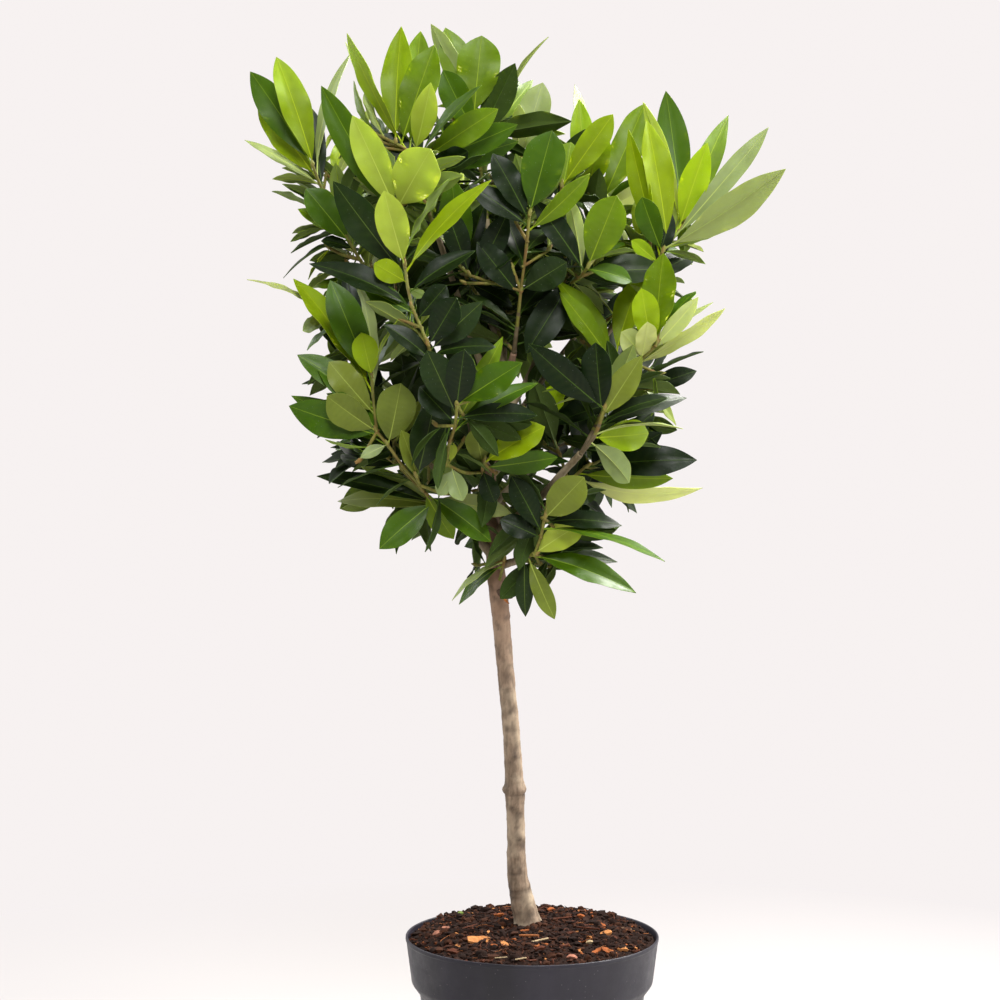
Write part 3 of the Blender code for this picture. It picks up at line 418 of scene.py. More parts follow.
FOLIAGE = {
    "foliage_sprout": Mass(412, [
        Shoot((-21, -17, 431), 10, 20, 0, [
            Leaf("grey", -106, 8, 45, 13, 70, 40), Leaf("deep", -114, -4, 44, 12, 40, 48),
            Leaf("lime", 9, 20, 19, 6),
        ]),
    ]),
    "foliage_skirt": Mass("bough_skirt", [
        Shoot((1, -36, 437), 60, 15, 1, [
            Leaf("lime", 53, 25, 44, 21), Leaf("deep", 99, 15, 78, 24, -36, 32),
            Leaf("olive", 159, 15, 49, 15, 12, 20), Leaf("shade", -178, 5, 43, 15, 22, 20),
            Leaf("shade", 81, -10, 76, 16, -30, 32),
        ]),
        Shoot((8, -52, 463), 20, 20, 3, [
            Leaf("olive", 43, 32, 45, 27), Leaf("dark", 77, 10, 54, 19, -45, 36),
            Leaf("deep", 87, 0, 90, 19, -45, 28), Leaf("dark", -26, 15, 47, 20, 10),
            Leaf("dark", -64, 10, 32, 18, 10),
        ]),
    ]),
    "foliage_left": Mass("bough_left", [
        Shoot((-80, -35, 483), -40, 10, 0, [
            Leaf("green", 151, -20, 46, 20), Leaf("deep", 120, 18, 57, 21, -27, 24),
            Leaf("pale", 97, 5, 60, 18, -40), Leaf("deep", -130, 8, 53, 24, 15),
            Leaf("shade", -70, 0, 92, 20, 42, 16), Leaf("olive", -76, -8, 82, 18, 30, 32),
            Leaf("pale", -54, 2, 70, 14, 40, 20),
        ]),
        Shoot((-84, -58, 493), -20, 25, 1, [
            Leaf("shade", 16, 26, 61, 31, 22), Leaf("olive", -14, 30, 40, 16, 30),
        ]),
        Shoot((-105, -55, 516), -20, 20, 0, [
            Leaf("olive", 15, 24, 47, 30, 12),
        ]),
        Shoot((-113, -55, 526), -30, 10, 1, [
            Leaf("olive", -57, 18, 44, 26, -22), Leaf("deep", -73, 5, 70, 28, -12),
            Leaf("deep", -36, -5, 48, 20, 10), Leaf("grey", -114, 20, 22, 10, 20),
            Leaf("deep", -60, -15, 88, 18, 20),
        ]),
        Shoot((-117, -50, 566), -10, 5, 3, [
            Leaf("bright", -13, 26, 32, 20, 0, 25), Leaf("deep", -22, 4, 80, 27, 9),
            Leaf("dark", -18, -8, 96, 20, -30), Leaf("fresh", -24, -14, 114, 24, 10),
            Leaf("grey", 2, -4, 90, 14, 40, 28), Leaf("deep", -54, 8, 65, 22, 21),
            Leaf("deep", -56, 8, 49, 20, 20), Leaf("olive", -42, 14, 50, 24, 7),
        ]),
        Shoot((-154, -8, 616), -50, 0, 2, [
            Leaf("pale", -52, 2, 63, 15, 70, 28), Leaf("grey", -113, 0, 23, 14, 30),
            Leaf("olive", -92, -5, 18, 9, 10), Leaf("deep", -125, 0, 30, 12, 60),
        ]),
    ]),
    "foliage_front": Mass("bough_front", [
        Shoot((-36, -70, 503), 10, 25, 2, [
            Leaf("fresh", 56, 22, 52, 24, -22), Leaf("olive", -12, 18, 28, 20, 10),
            Leaf("deep", 84, 5, 54, 18, 20), Leaf("dark", 161, 10, 25, 16, 10),
            Leaf("dark", 67, 5, 62, 20, -54, 40),
        ]),
        Shoot((-62, -68, 502), -20, 20, 0, [
            Leaf("lime", 16, 10, 16, 9), Leaf("grey", 164, 15, 26, 15, 10),
            Leaf("grey", -146, 10, 23, 13, 10),
        ]),
        Shoot((-54, -104, 543), -5, 25, 2, [
            Leaf("deep", 57, 22, 55, 24, -12), Leaf("dark", 9, 25, 46, 22),
            Leaf("shade", -26, 10, 49, 24, 10), Leaf("dark", 77, 8, 55, 18, -36, 32),
            Leaf("dark", -44, 5, 36, 20, 10), Leaf("green", 29, 8, 72, 16, 15),
            Leaf("deep", 46, 15, 65, 16, -30, 40),
        ]),
    ]),
    "foliage_front_left": Mass("bough_front_left", [
        Shoot((-74, -105, 584), -10, 15, 1, [
            Leaf("dark", 34, 28, 40, 22), Leaf("shade", 47, 12, 50, 22, 10),
            Leaf("dark", 66, 15, 43, 20, -54, 36), Leaf("dark", -46, 18, 41, 16, 28, 28),
        ]),
        Shoot((-85, -98, 610), -20, 5, 2, [
            Leaf("dark", -54, 5, 78, 24, 45, 32), Leaf("deep", -61, -4, 42, 18, 15),
            Leaf("dark", 42, 12, 31, 18, 10),
        ]),
        Shoot((-91, -90, 641), -5, 5, 1, [
            Leaf("lime", -17, 32, 56, 24), Leaf("fresh", 34, 10, 86, 21, -45, 24),
            Leaf("shade", -39, 2, 86, 27, -15), Leaf("fresh", -61, 25, 27, 17),
            Leaf("deep", 120, 20, 15, 8, 160), Leaf("dark", 47, 10, 53, 18, -40, 32),
        ]),
        Shoot((-97, -80, 683), -5, 5, 2, [
            Leaf("lime", 34, 42, 54, 36), Leaf("lime", -24, 15, 75, 24, -7),
            Leaf("deep", -32, -2, 114, 24, -22),
        ]),
    ]),
    "foliage_crest_left": Mass("bough_crest_left", [
        Shoot((-141, 8, 677), -30, 0, 2, [
            Leaf("green", -59, 0, 42, 17, 35), Leaf("shade", -97, 0, 53, 16, 65, 44),
            Leaf("deep", -38, 5, 53, 26, 10), Leaf("dark", -72, 0, 25, 14, 40, 15),
            Leaf("pale", -59, -5, 34, 8, 60, 32),
        ]),
        Shoot((-153, 34, 722), 5, -10, 3, [
            Leaf("fresh", 14, -10, 36, 16, 30), Leaf("pale", 27, 10, 68, 12, 20),
        ]),
        Shoot((-165, 0, 728), -5, 0, 2, [
            Leaf("deep", -31, -8, 94, 26, -9), Leaf("fresh", -15, 8, 89, 26, 28),
            Leaf("grey", 0, -5, 103, 14, -43, 32), Leaf("fresh", -38, 8, 88, 26, -22),
            Leaf("grey", -53, -10, 73, 12, 42), Leaf("dark", -10, 0, 67, 16, 10),
        ]),
    ]),
    "foliage_crest": Mass("bough_crest", [
        Shoot((-80, -22, 730), 30, 0, 3, [
            Leaf("green", 59, 20, 65, 22, 9), Leaf("deep", 70, 4, 75, 22, 20),
            Leaf("deep", 74, -8, 77, 21, 20), Leaf("dark", 64, 8, 38, 22, 15),
            Leaf("dark", -38, 8, 43, 24, 10),
        ]),
        Shoot((-101, -30, 739), 0, 0, 3, [
            Leaf("fresh", 0, -2, 90, 26, -7), Leaf("green", 19, 12, 77, 29, -7),
            Leaf("fresh", -32, 6, 94, 20, -60), Leaf("green", 3, -16, 107, 22),
            Leaf("lime", 22, 30, 54, 20, -22), Leaf("deep", 37, 10, 72, 18, -45),
            Leaf("pale", -42, -4, 109, 12, -45, 20),
        ]),
    ]),
    "foliage_centre": Mass("trunk", [
        Shoot((-9, -44, 629), 10, 10, 2, [
            Leaf("shade", 60, 25, 40, 24, 5), Leaf("dark", -40, 15, 50, 22, 10),
        ]),
        Shoot((-46, -45, 640), -30, 10, 3, [
            Leaf("dark", -20, 15, 52, 20, 10), Leaf("dark", 30, 10, 52, 20, 10),
            Leaf("dark", 41, 5, 37, 16, -40, 32),
        ]),
        Shoot((-3, -65, 681), 5, 5, 3, [
            Leaf("deep", 15, 15, 61, 32), Leaf("dark", -27, 10, 54, 22, 15),
            Leaf("dark", -52, 5, 52, 20, 20), Leaf("green", 52, 10, 60, 20, 45),
        ]),
    ]),
    "foliage_top": Mass("bough_top", [
        Shoot((-44, 10, 766), -5, 0, 3, [
            Leaf("green", 5, 8, 62, 35), Leaf("green", -15, 0, 78, 27, 12),
            Leaf("grey", -18, -6, 86, 20, 130), Leaf("deep", -32, 10, 53, 24, 10),
            Leaf("grey", -29, 2, 49, 14, 150),
        ]),
        Shoot((-8, 40, 742), 15, 0, 2, [
            Leaf("grey", 16, 2, 61, 26), Leaf("pale", 2, 14, 43, 16, 150),
            Leaf("pale", 50, 5, 48, 12, 70), Leaf("dark", -38, 12, 61, 22, 10),
        ]),
        Shoot((-25, 34, 768), 15, 0, 3, [
            Leaf("olive", 15, 0, 75, 15, -70, 28), Leaf("deep", 30, -10, 51, 28, 10),
            Leaf("green", 37, -20, 62, 14, 10),
        ]),
    ]),
    "foliage_shoulder": Mass("bough_shoulder", [
        Shoot((39, -60, 644), 20, 20, 2, [
            Leaf("green", 22, 30, 56, 30), Leaf("deep", 95, 10, 33, 18, -36, 32),
            Leaf("dark", -33, 10, 63, 20, 10), Leaf("pale", -7, 0, 58, 14, 150),
        ]),
        Shoot((22, -8, 711), 15, 0, 2, [
            Leaf("fresh", 36, 12, 65, 22, 9), Leaf("green", 13, -5, 40, 22, 10),
        ]),
        Shoot((54, 48, 706), 20, -5, 3, [
            Leaf("green", 24, 4, 87, 28, 22), Leaf("deep", 57, 0, 46, 20, 40),
            Leaf("pale", 64, -4, 45, 18, 30),
        ]),
        Shoot((43, 20, 711), 5, 0, 2, [
            Leaf("bright", -7, 8, 71, 20), Leaf("fresh", 8, 12, 53, 26),
            Leaf("olive", -1, -14, 103, 18, 50),
        ]),
    ]),
    "foliage_crest_right": Mass("bough_crest_right", [
        Shoot((96, -22, 660), 20, 0, 1, [
            Leaf("deep", -24, 15, 43, 20, -22), Leaf("fresh", -16, 4, 98, 18, -37),
            Leaf("bright", -53, 20, 26, 12), Leaf("dark", 14, 10, 41, 14, 10),
        ]),
        Shoot((113, -10, 684), 20, 5, 2, [
            Leaf("deep", -6, -8, 111, 26, -7, 20), Leaf("bright", -12, -4, 96, 14, 150),
            Leaf("bright", 17, 15, 67, 23, 7), Leaf("deep", 11, -10, 83, 20, 10),
            Leaf("green", 24, -5, 112, 21, 12, 24), Leaf("grey", 42, 2, 114, 18, 30),
            Leaf("fresh", -7, 6, 94, 26, 22), Leaf("grey", 62, 22, 108, 29, 155),
        ]),
    ]),
    "foliage_right": Mass("bough_right", [
        Shoot((50, -78, 541), 10, 10, 1, [
            Leaf("dark", -52, 14, 71, 24, -12), Leaf("dark", -8, 16, 51, 24, -22),
            Leaf("olive", 33, 20, 54, 21, 9), Leaf("dark", 56, 10, 51, 16, -54, 32),
            Leaf("dark", 57, -4, 72, 18, -30, 48), Leaf("grey", 69, 0, 60, 20, -84, 32),
            Leaf("bright", 86, -14, 45, 24, 10), Leaf("grey", 129, 20, 48, 20, -160, 40),
        ]),
        Shoot((61, -28, 583), 0, 5, 2, [
            Leaf("fresh", 14, -4, 67, 24, -27), Leaf("green", -30, 10, 72, 24, 27, 20),
            Leaf("green", -34, 14, 67, 18, 22),
        ]),
        Shoot((89, -50, 589), 10, 10, 2, [
            Leaf("green", 1, 10, 66, 28, -22), Leaf("bright", -13, 25, 45, 21),
            Leaf("pale", 45, 5, 54, 15, 21), Leaf("pale", -50, 38, 28, 19),
            Leaf("pale", 9, 42, 34, 18), Leaf("pale", 52, -8, 63, 14, 60),
            Leaf("pale", 63, 0, 80, 14, 39), Leaf("grey", 40, -6, 86, 10, -60, 20),
        ]),
    ]),
    "foliage_right_low": Mass("bough_right_low", [
        Shoot((39, -20, 501), 60, 10, 4, [
            Leaf("dark", 82, 12, 82, 26, -17), Leaf("dark", 93, 4, 58, 12, 15),
            Leaf("green", 93, 5, 70, 18, 36, 16), Leaf("pale", 114, -10, 106, 22, 40, 52),
        ]),
        Shoot((11, -10, 533), 0, 10, 1, [
            Leaf("bright", 8, 15, 32, 22, -36, 32), Leaf("dark", -22, 5, 30, 18, 10),
        ]),
    ]),
}

BY_RULE = {
    "foliage_back_low": Sector("bough_back_low", (62, 118), (452, 520), 4),
    "foliage_back_left_low": Sector("bough_back_left_low", (125, 188), (486, 582), 5),
    "foliage_back_right_low": Sector("bough_back_right_low", (-12, 55), (490, 590), 5),
    "foliage_back_left": Sector("bough_back_left", (108, 172), (612, 715), 5),
    "foliage_back_right": Sector("bough_back_right", (2, 66), (616, 700), 5),
    "foliage_back": Sector("bough_back", (70, 112), (600, 740), 5),
    "foliage_heart": Sector("bough_heart", (20, 250), (605, 715), 4, 115),
}

# Shoots that grow by rule: how they are spread, and how steeply they rise
CROWN_FOOT, CROWN_TOP = CROWN_REACH[0][0], CROWN_REACH[-1][0]
GOLDEN_RATIO = 0.618
FIRST_SHARE = 0.3
RISE = (0.5, 1.6)  # at the crown's foot, and how much more at its top
RULED_MORE = 2
SPROUT_RADIUS = 1.8
SPRING_COST = 0.35  # a twig springs from near its tip, and rather from near the bough

# A twig or leaf that isn't clear is tried again, and wanders further at each try
TRIES = 8
WAY_WANDER = 0.25
TIP_WANDER = 12
LISTED_WANDER = (0.6, 2, 4)  # degrees more of heading, lean and turn
SLOPE_WANDER = 0.1  # radians
SPIN_STEP = 0.4

# Leaves that grow by rule
GOLDEN_ANGLE = math.radians(137.5)
LEAF_LENGTHS = (50, 70)
LEAF_RATIO = 0.38
RULED_ARCH = (8, 20)
RULED_LIFT = 0.5  # how much their upper faces look to the sky
RULED_FRONT_LIMIT = -0.35
WHORL_LEAVES = 5  # round the tip of a shoot that has no leaves of its own listed
WHORL_STEP = 4
WHORL_SLOPES = (36, 8, 72)  # the first leaf's, how much more each has, and the most
STEM_STEP = 11
STEM_SLOPE = 62

# How much light a ruled leaf's painted tone stands for: by how far out and how high it grows, less
# for each rank
OUT_LIGHT = 0.6
UP_LIGHT = 0.6
DARK_BELOW = 430
LIGHT_RUN = 350
RANK_SHADE = 0.05

# Sizes of the plain shapes that keep twigs and leaves clear of each other
TRUNK_SIDES = 10
BOUGH_SIDES = 6
TWIG_TIP = 1.5
TWIG_TAPER = 0.92
TWIG_STEP = 24
LEAF_THICKNESS = 1 / 55  # by its length
BLADE = ((0.36, 0.5), (0.74, 0.37))  # along the length, and half the width there by the width
UPPER_FACE = ((0, 1, 2), (1, 3, 4, 2), (3, 5, 4))  # root, two left and right pairs, tip
RIM = (0, 1, 3, 5, 4, 2)
KEEL_SHARE = 0.42
ROOT_DEPTH = 0.5
BLADE_START = 0.12
BUD = 2.5
SQUARE_START = 1.5

# What the scene adds to the same masses: leaves further down each twig, and side shoots
FINE_FROM = 12
FINE_STEPS = (6, 10)
FINE_LENGTHS = (36, 64)
FINE_RATIO = (0.32, 0.42)
FINE_ARCH = (6, 22)
FINE_SLOPE = (45, 80)
FINE_LIFT = 0.6
SIDE_SHOOTS_EACH = 9
SIDE_SHOOTS = (13, 26)  # their length
SIDE_LENGTHS = (28, 48)  # their leaves' length
SIDE_LEAVES = (3, 4, 5)
SIDE_WHORL_STEP = 3
SIDE_RADIUS = TWIG_TIP * 1.2
SIDE_FORWARD = 0.6  # a side shoot leaves partly along its twig and partly out of the crown
SIDE_OUT = 0.5
SIDE_LIFT = 0.5
CROWN_HEART = 560
FRONT_LIMIT = -0.2  # masses that the front view shows leave their front to the listed leaves


# ---------------------------------------------------------------- limbs and the rule of growth


def smooth(knots, steps):
    """A Catmull-Rom curve through knots of (position, radius), with this many steps a span."""
    ends = [2 * knots[0] - knots[1], *knots, 2 * knots[-1] - knots[-2]]
    path = []
    for a, b, c, d in zip(ends, ends[1:], ends[2:], ends[3:]):
        for step in range(steps):
            t = step / steps
            path.append(
                0.5 * (2 * b + (c - a) * t + (2 * a - 5 * b + 4 * c - d) * t**2
                       + (3 * b - a - 3 * c + d) * t**3)
            )
    return [*path, knots[-1]]


def tube_mesh(name, path, sides):
    """A tapering tube along path, whose points are (x, y, z, radius), as one closed mesh."""
    curve = bpy.data.curves.new(name, "CURVE")
    curve.dimensions = "3D"
    curve.use_fill_caps = True
    profile = None
    if sides == 3:
        outline = bpy.data.curves.new("three_sided", "CURVE")
        corners = outline.splines.new("POLY")
        corners.points.add(2)
        corners.use_cyclic_u = True
        for k, corner in enumerate(corners.points):
            angle = 2 * math.pi * k / 3
            corner.co = (math.cos(angle) * MM, math.sin(angle) * MM, 0, 1)
        profile = bpy.data.objects.new("three_sided", outline)
        curve.bevel_mode = "OBJECT"
        curve.bevel_object = profile
    else:
        curve.bevel_depth = MM
        curve.bevel_resolution = sides // 2 - 2
    spline = curve.splines.new("POLY")
    spline.points.add(len(path) - 1)
    for point, (x, y, z, radius) in zip(spline.points, path):
        point.co = (x * MM, y * MM, z * MM, 1)
        point.radius = radius
    guide = bpy.data.objects.new(name, curve)
    bpy.context.scene.collection.objects.link(guide)
    graph = bpy.context.evaluated_depsgraph_get()
    mesh = bpy.data.meshes.new_from_object(guide.evaluated_get(graph))
    bpy.data.objects.remove(guide)
    bpy.data.curves.remove(curve)
    if profile:
        bpy.data.objects.remove(profile)
    return mesh


def grown(path, by):
    return [(x, y, z, radius + by) for x, y, z, radius in path]


def on_trunk(height):
    """The point on the stem's centreline at this height."""
    for low, high in zip(TRUNK, TRUNK[1:]):
        if low[0] <= height <= high[0]:
            share = (height - low[0]) / (high[0] - low[0])
            x, y = (low[i] + (high[i] - low[i]) * share for i in (1, 2))
            return x, y, height
    raise ValueError(f"the stem has no height {height}")


def trunk_path(steps=1):
    return smooth([Vector((x, y, z, radius)) for z, x, y, radius in TRUNK], steps)


def bough_path(height, bends, first_radius, last_radius, steps=2):
    places = [on_trunk(height), *bends]
    knots = []
    for k, place_on_it in enumerate(places):
        share = k / (len(places) - 1)
        knots.append(Vector((*place_on_it, first_radius + (last_radius - first_radius) * share)))
    return smooth(knots, steps)


def limb_end(path):
    last, before = Vector(path[-1][:3]), Vector(path[-2][:3])
    way = (last - before).normalized()
    return last + way * (GAP / MM), way, path[-1][3]


def pointing(heading, lean):
    heading, lean = math.radians(heading), math.radians(lean)
    return Vector(
        (math.sin(heading) * math.cos(lean), -math.sin(lean), math.cos(heading) * math.cos(lean))
    )


def turned_face(along, turn):
    """The way a blade's upper face looks: to the front, then turned about the blade's length."""
    front = Vector((0, -1, 0))
    face = (front - along * along.dot(front)).normalized()
    return Matrix.Rotation(math.radians(turn), 3, along) @ face


def slanting(way, spin, slope):
    """A direction at this slope to a twig's way, this far round it."""
    across = way.orthogonal().normalized()
    turned_across = Matrix.Rotation(spin, 3, way) @ across
    return way * math.cos(slope) + turned_across * math.sin(slope)


def facing_up(way, along, lift):
    """How a blade that runs along faces: along its twig's way, lifted towards the sky."""
    face = way + Vector((0, 0, lift))
    return (face - along * along.dot(face)).normalized()


class Solid:
    """A shape that others have to stay clear of: its corners, its faces and the node it is in."""

    def __init__(self, corners, faces, owner=None):
        self.owner = owner
        self.low = [min(corner[i] for corner in corners) for i in range(3)]
        self.high = [max(corner[i] for corner in corners) for i in range(3)]
        self.tree = BVHTree.FromPolygons(corners, faces)

    def meets(self, others):
        for other in others:
            apart = any(
                self.low[i] > other.high[i] or self.high[i] < other.low[i] for i in range(3)
            )
            if not apart and self.tree.overlap(other.tree):
                return True
        return False


def solid_of_mesh(mesh, owner=None):
    corners = [v.co / MM for v in mesh.vertices]
    return Solid(corners, [tuple(p.vertices) for p in mesh.polygons], owner)


def twig_solid(path, owner=None):
    return solid_of_mesh(tube_mesh("twig", path, 3), owner)


@dataclass
class Pose:
    """A leaf in its place."""

    leaf: Leaf
    root: Vector
    along: Vector
    face: Vector

    def corners(self, first=0, grow=0, lift=0):
        """The six corners of the blade, which may start part of the way along or be grown."""
        side = self.along.cross(self.face)
        length = self.leaf.length + grow
        found = []
        for share, half in ((first, 0), *BLADE, (1, 0)):
            middle = self.root + self.along * (length * share)
            middle += self.face * (lift - length * self.leaf.arch / 100 * share * share)
            reach = side * (half * self.leaf.width + grow)
            found += [middle - reach, middle + reach] if half else [middle]
        return found

    def shape(self):
        """The leaf's plain solid: flat above, keeled below and pointed at both ends."""
        keel = self.root + self.along * (self.leaf.length * KEEL_SHARE)
        sag = self.leaf.length * self.leaf.arch / 100 * KEEL_SHARE**2
        keel -= self.face * (sag + self.leaf.length * LEAF_THICKNESS)
        fan = [(b, a, len(RIM)) for a, b in zip(RIM, (*RIM[1:], RIM[0]))]
        corners = self.corners()
        corners[0] = self.root - self.along * ROOT_DEPTH
        return [*corners, keel], [*UPPER_FACE, *fan]

    def room(self):
        """The space that the leaf needs, a gap wider than the leaf all round."""
        gap = GAP / MM
        upper = self.corners(grow=gap, lift=gap)
        lower = self.corners(grow=gap, lift=-gap - self.leaf.length * LEAF_THICKNESS)
        under = [tuple(corner + len(RIM) for corner in face) for face in UPPER_FACE]
        wall = [(a, b, b + len(RIM), a + len(RIM)) for a, b in zip(RIM, (*RIM[1:], RIM[0]))]
        return Solid(upper + lower, [*UPPER_FACE, *under, *wall])

    def blade(self):
        """The blade without its narrow root, where leaves of one whorl may cross."""
        return Solid(self.corners(first=BLADE_START), UPPER_FACE)


def bent_twig(start, leaving, tip, arriving, radius, straight):
    """A twig's path: it leaves start, first straight on, and arrives at its tip as directed."""
    span = (tip - start).length
    reach = span / 3
    corners = (start, start + leaving * reach, tip - arriving * reach, tip)
    steps = max(1, math.ceil(span / TWIG_STEP))
    path = [(*start, radius)]
    if straight:
        path.append((*(start + leaving * straight), radius))
    for k in range(1, steps + 1):
        t = k / steps
        weights = ((1 - t) ** 3, 3 * t * (1 - t) ** 2, 3 * t**2 * (1 - t), t**3)
        point = sum((c * w for c, w in zip(corners, weights)), Vector((0, 0, 0)))
        path.append((*point, radius + (TWIG_TIP - radius) * t))
    return [*path, (*(tip + arriving * BUD), TWIG_TIP * 0.4)]


def back_along(path, distance):
    """The place and direction this far back from the tip of a twig's path, short of its bud."""
    points = [Vector(point[:3]) for point in path[:-1]]
    for nearer, farther in zip(points[::-1], points[-2::-1]):
        span = (nearer - farther).length
        along = (nearer - farther) / span
        if distance <= span:
            return nearer - along * distance, along, True
        distance -= span
    return points[0], along, False


def crown_reach(height):
    for low, high in zip(CROWN_REACH, CROWN_REACH[1:]):
        if low[0] <= height <= high[0]:
            return low[1] + (high[1] - low[1]) * (height - low[0]) / (high[0] - low[0])
    raise ValueError(f"the crown has no height {height}")


def in_crown(point):
    """Whether a point keeps to the crown's own space."""
    if not CROWN_FOOT <= point.z <= CROWN_TOP:
        return False
    aside = math.hypot(point.x - CROWN_MIDDLE[0], point.y - CROWN_MIDDLE[1])
    return aside <= crown_reach(point.z)


def ruled_tone(rank, place):
    """A ruled leaf's tone: fresh at the tips high in the crown, as young growth is, and painted
    shade as darker tones lower and deeper in.
    """
    height = min(max(place.z, CROWN_FOOT), CROWN_TOP)
    out = math.hypot(place.x - CROWN_MIDDLE[0], place.y - CROWN_MIDDLE[1]) / crown_reach(height)
    light = OUT_LIGHT * out + UP_LIGHT * (height - DARK_BELOW) / LIGHT_RUN - RANK_SHADE * rank
    choice = random.Random(f"{place.x:.2f} {place.z:.2f} {rank}").random()
    for least, tones in TONES_BY_LIGHT:
        if light > least:
            return tones[int(choice * len(tones))]
    return "dark"


class Growth:
    """One mass while it grows: where twigs may spring from, and what has grown so far."""

    def __init__(self, name, start, leaving, radius, limb):
        self.name = name
        self.limb = limb
        self.springs = [(start, leaving, radius, 0)]
        self.blades = []
        self.twigs = []
        self.leaves = []
        self.dice = random.Random(f"{SEED} {name}")

    def spring_for(self, tip):
        def cost(spring):
            return (tip - spring[0]).length + SPRING_COST * spring[3]

        return min(self.springs, key=cost)

    def add_twig(self, shoot, solids):
        """Grows the twig to this shoot's tip, or skips the shoot where it finds no way."""
        tip = Vector(shoot.tip)
        arriving = pointing(shoot.heading, shoot.lean)
        start, parent_way, radius, distance = self.spring_for(tip)
        first = not self.twigs
        straight = SQUARE_START if first else 0
        own = (self.name, self.limb) if first else (self.name,)
        others = [s for s in solids if s.owner not in own]
        for attempt in range(TRIES):
            wander = Vector(self.dice.gauss(0, WAY_WANDER * attempt) for _ in range(3))
            leaving = (parent_way + (tip - start).normalized() + wander).normalized()
            if first:
                leaving = parent_way
            path = bent_twig(start, leaving, tip, arriving, radius * TWIG_TAPER, straight)
            if not twig_solid(grown(path, GAP / MM)).meets(others):
                break
            if first:
                tip = tip + wander * TIP_WANDER
        else:
            return
        self.twigs.append((shoot, path))
        solids.append(twig_solid(path, self.name))
        if first:
            self.springs.clear()
        for here, there in zip(path[1:], path[2:]):
            place_here = Vector(here[:3])
            distance += TWIG_STEP
            way = (Vector(there[:3]) - place_here).normalized()
            self.springs.append((place_here, way, here[3], distance))

    def add_leaf(self, poses, solids, listed):
        """Adds a leaf in the first of these poses that is clear; a listed one may cross its own."""
        others = [s for s in solids if s.owner != self.name]
        kept = None
        for pose in poses:
            if not listed and not in_crown(pose.root + pose.along * pose.leaf.length):
                continue
            if pose.room().meets(others):
                continue
            if not pose.blade().meets(self.blades):
                kept = pose
                break
            if listed and kept is None:
                kept = pose
        if kept:
            self.leaves.append(kept)
            self.blades.append(kept.blade())
            solids.append(Solid(*kept.shape(), self.name))

    def listed_poses(self, root, leaf):
        for attempt in range(TRIES):
            heading, lean, turn = (self.dice.gauss(0, each * attempt) for each in LISTED_WANDER)
            along = pointing(leaf.heading + heading, leaf.lean + lean)
            yield Pose(leaf, root, along, turned_face(along, leaf.turn + turn))

    def ruled_poses(self, root, way, spin, slope, front, tone):
        """A leaf at this angle to its twig, whose upper face looks along the twig and upwards."""
        length = self.dice.uniform(*LEAF_LENGTHS)
        for attempt in range(TRIES):
            arch = self.dice.uniform(*RULED_ARCH)
            leaf = Leaf(tone, 0, 0, length, length * LEAF_RATIO, arch=arch)
            tilt = slope + self.dice.gauss(0, SLOPE_WANDER * attempt)
            along = slanting(way, spin + attempt * SPIN_STEP, tilt)
            if front and along.y < RULED_FRONT_LIMIT:
                along.y = -along.y
            yield Pose(leaf, root, along, facing_up(way, along, RULED_LIFT))

    def add_listed_leaves(self, solids):
        for shoot, path in self.twigs:
            for k, leaf in enumerate(shoot.leaves):
                root, _, _ = back_along(path, k * WHORL_STEP)
                self.add_leaf(self.listed_poses(root, leaf), solids, True)

    def add_ruled_leaves(self, solids):
        least, more, most = WHORL_SLOPES
        for shoot, path in self.twigs:
            listed = len(shoot.leaves)
            whorl = 0 if listed else WHORL_LEAVES
            phase = self.dice.uniform(0, 2 * math.pi)
            for k in range(whorl + shoot.more):
                back = (listed + min(k, whorl)) * WHORL_STEP + max(0, k - whorl + 1) * STEM_STEP
                root, way, on_twig = back_along(path, back)
                if not on_twig:
                    break
                slope = math.radians(min(least + more * k, most) if whorl else STEM_SLOPE)
                spin = phase + k * GOLDEN_ANGLE
                tone = ruled_tone(k if whorl else k + WHORL_LEAVES, root)
                poses = self.ruled_poses(root, way, spin, slope, bool(listed), tone)
                self.add_leaf(poses, solids, False)


def ruled_shoots(sector):
    """Shoots spread over a sector by the golden ratio, pointing outwards and up."""
    shoots = []
    low, high = sector.heights
    first, last = sector.azimuth
    for k in range(sector.shoots):
        height = low + (high - low) * (k + 0.5) / sector.shoots
        azimuth = math.radians(first + (last - first) * ((k * GOLDEN_RATIO + FIRST_SHARE) % 1))
        reach = crown_reach(height) - sector.inset
        out = Vector((math.cos(azimuth), math.sin(azimuth), 0))
        tip = Vector((*CROWN_MIDDLE, height)) + out * reach
        up = RISE[0] + RISE[1] * (height - CROWN_FOOT) / (CROWN_TOP - CROWN_FOOT)
        way = (out + Vector((0, 0, up))).normalized()
        heading, lean = math.degrees(math.atan2(way.x, way.z)), -math.degrees(math.asin(way.y))
        shoots.append(Shoot(tuple(tip), heading, lean, RULED_MORE))
    return shoots


def start_growth(name, mass, limb_paths):
    """A mass's stem starts just past its limb's tip, or inside the stem."""
    if mass.limb in limb_paths:
        start, way, radius = limb_end(limb_paths[mass.limb])
        return Growth(name, start, way, radius, mass.limb)
    start = Vector(on_trunk(mass.limb))
    way = (Vector(mass.shoots[0].tip) - start).normalized()
    return Growth(name, start, way, SPROUT_RADIUS, "stem")


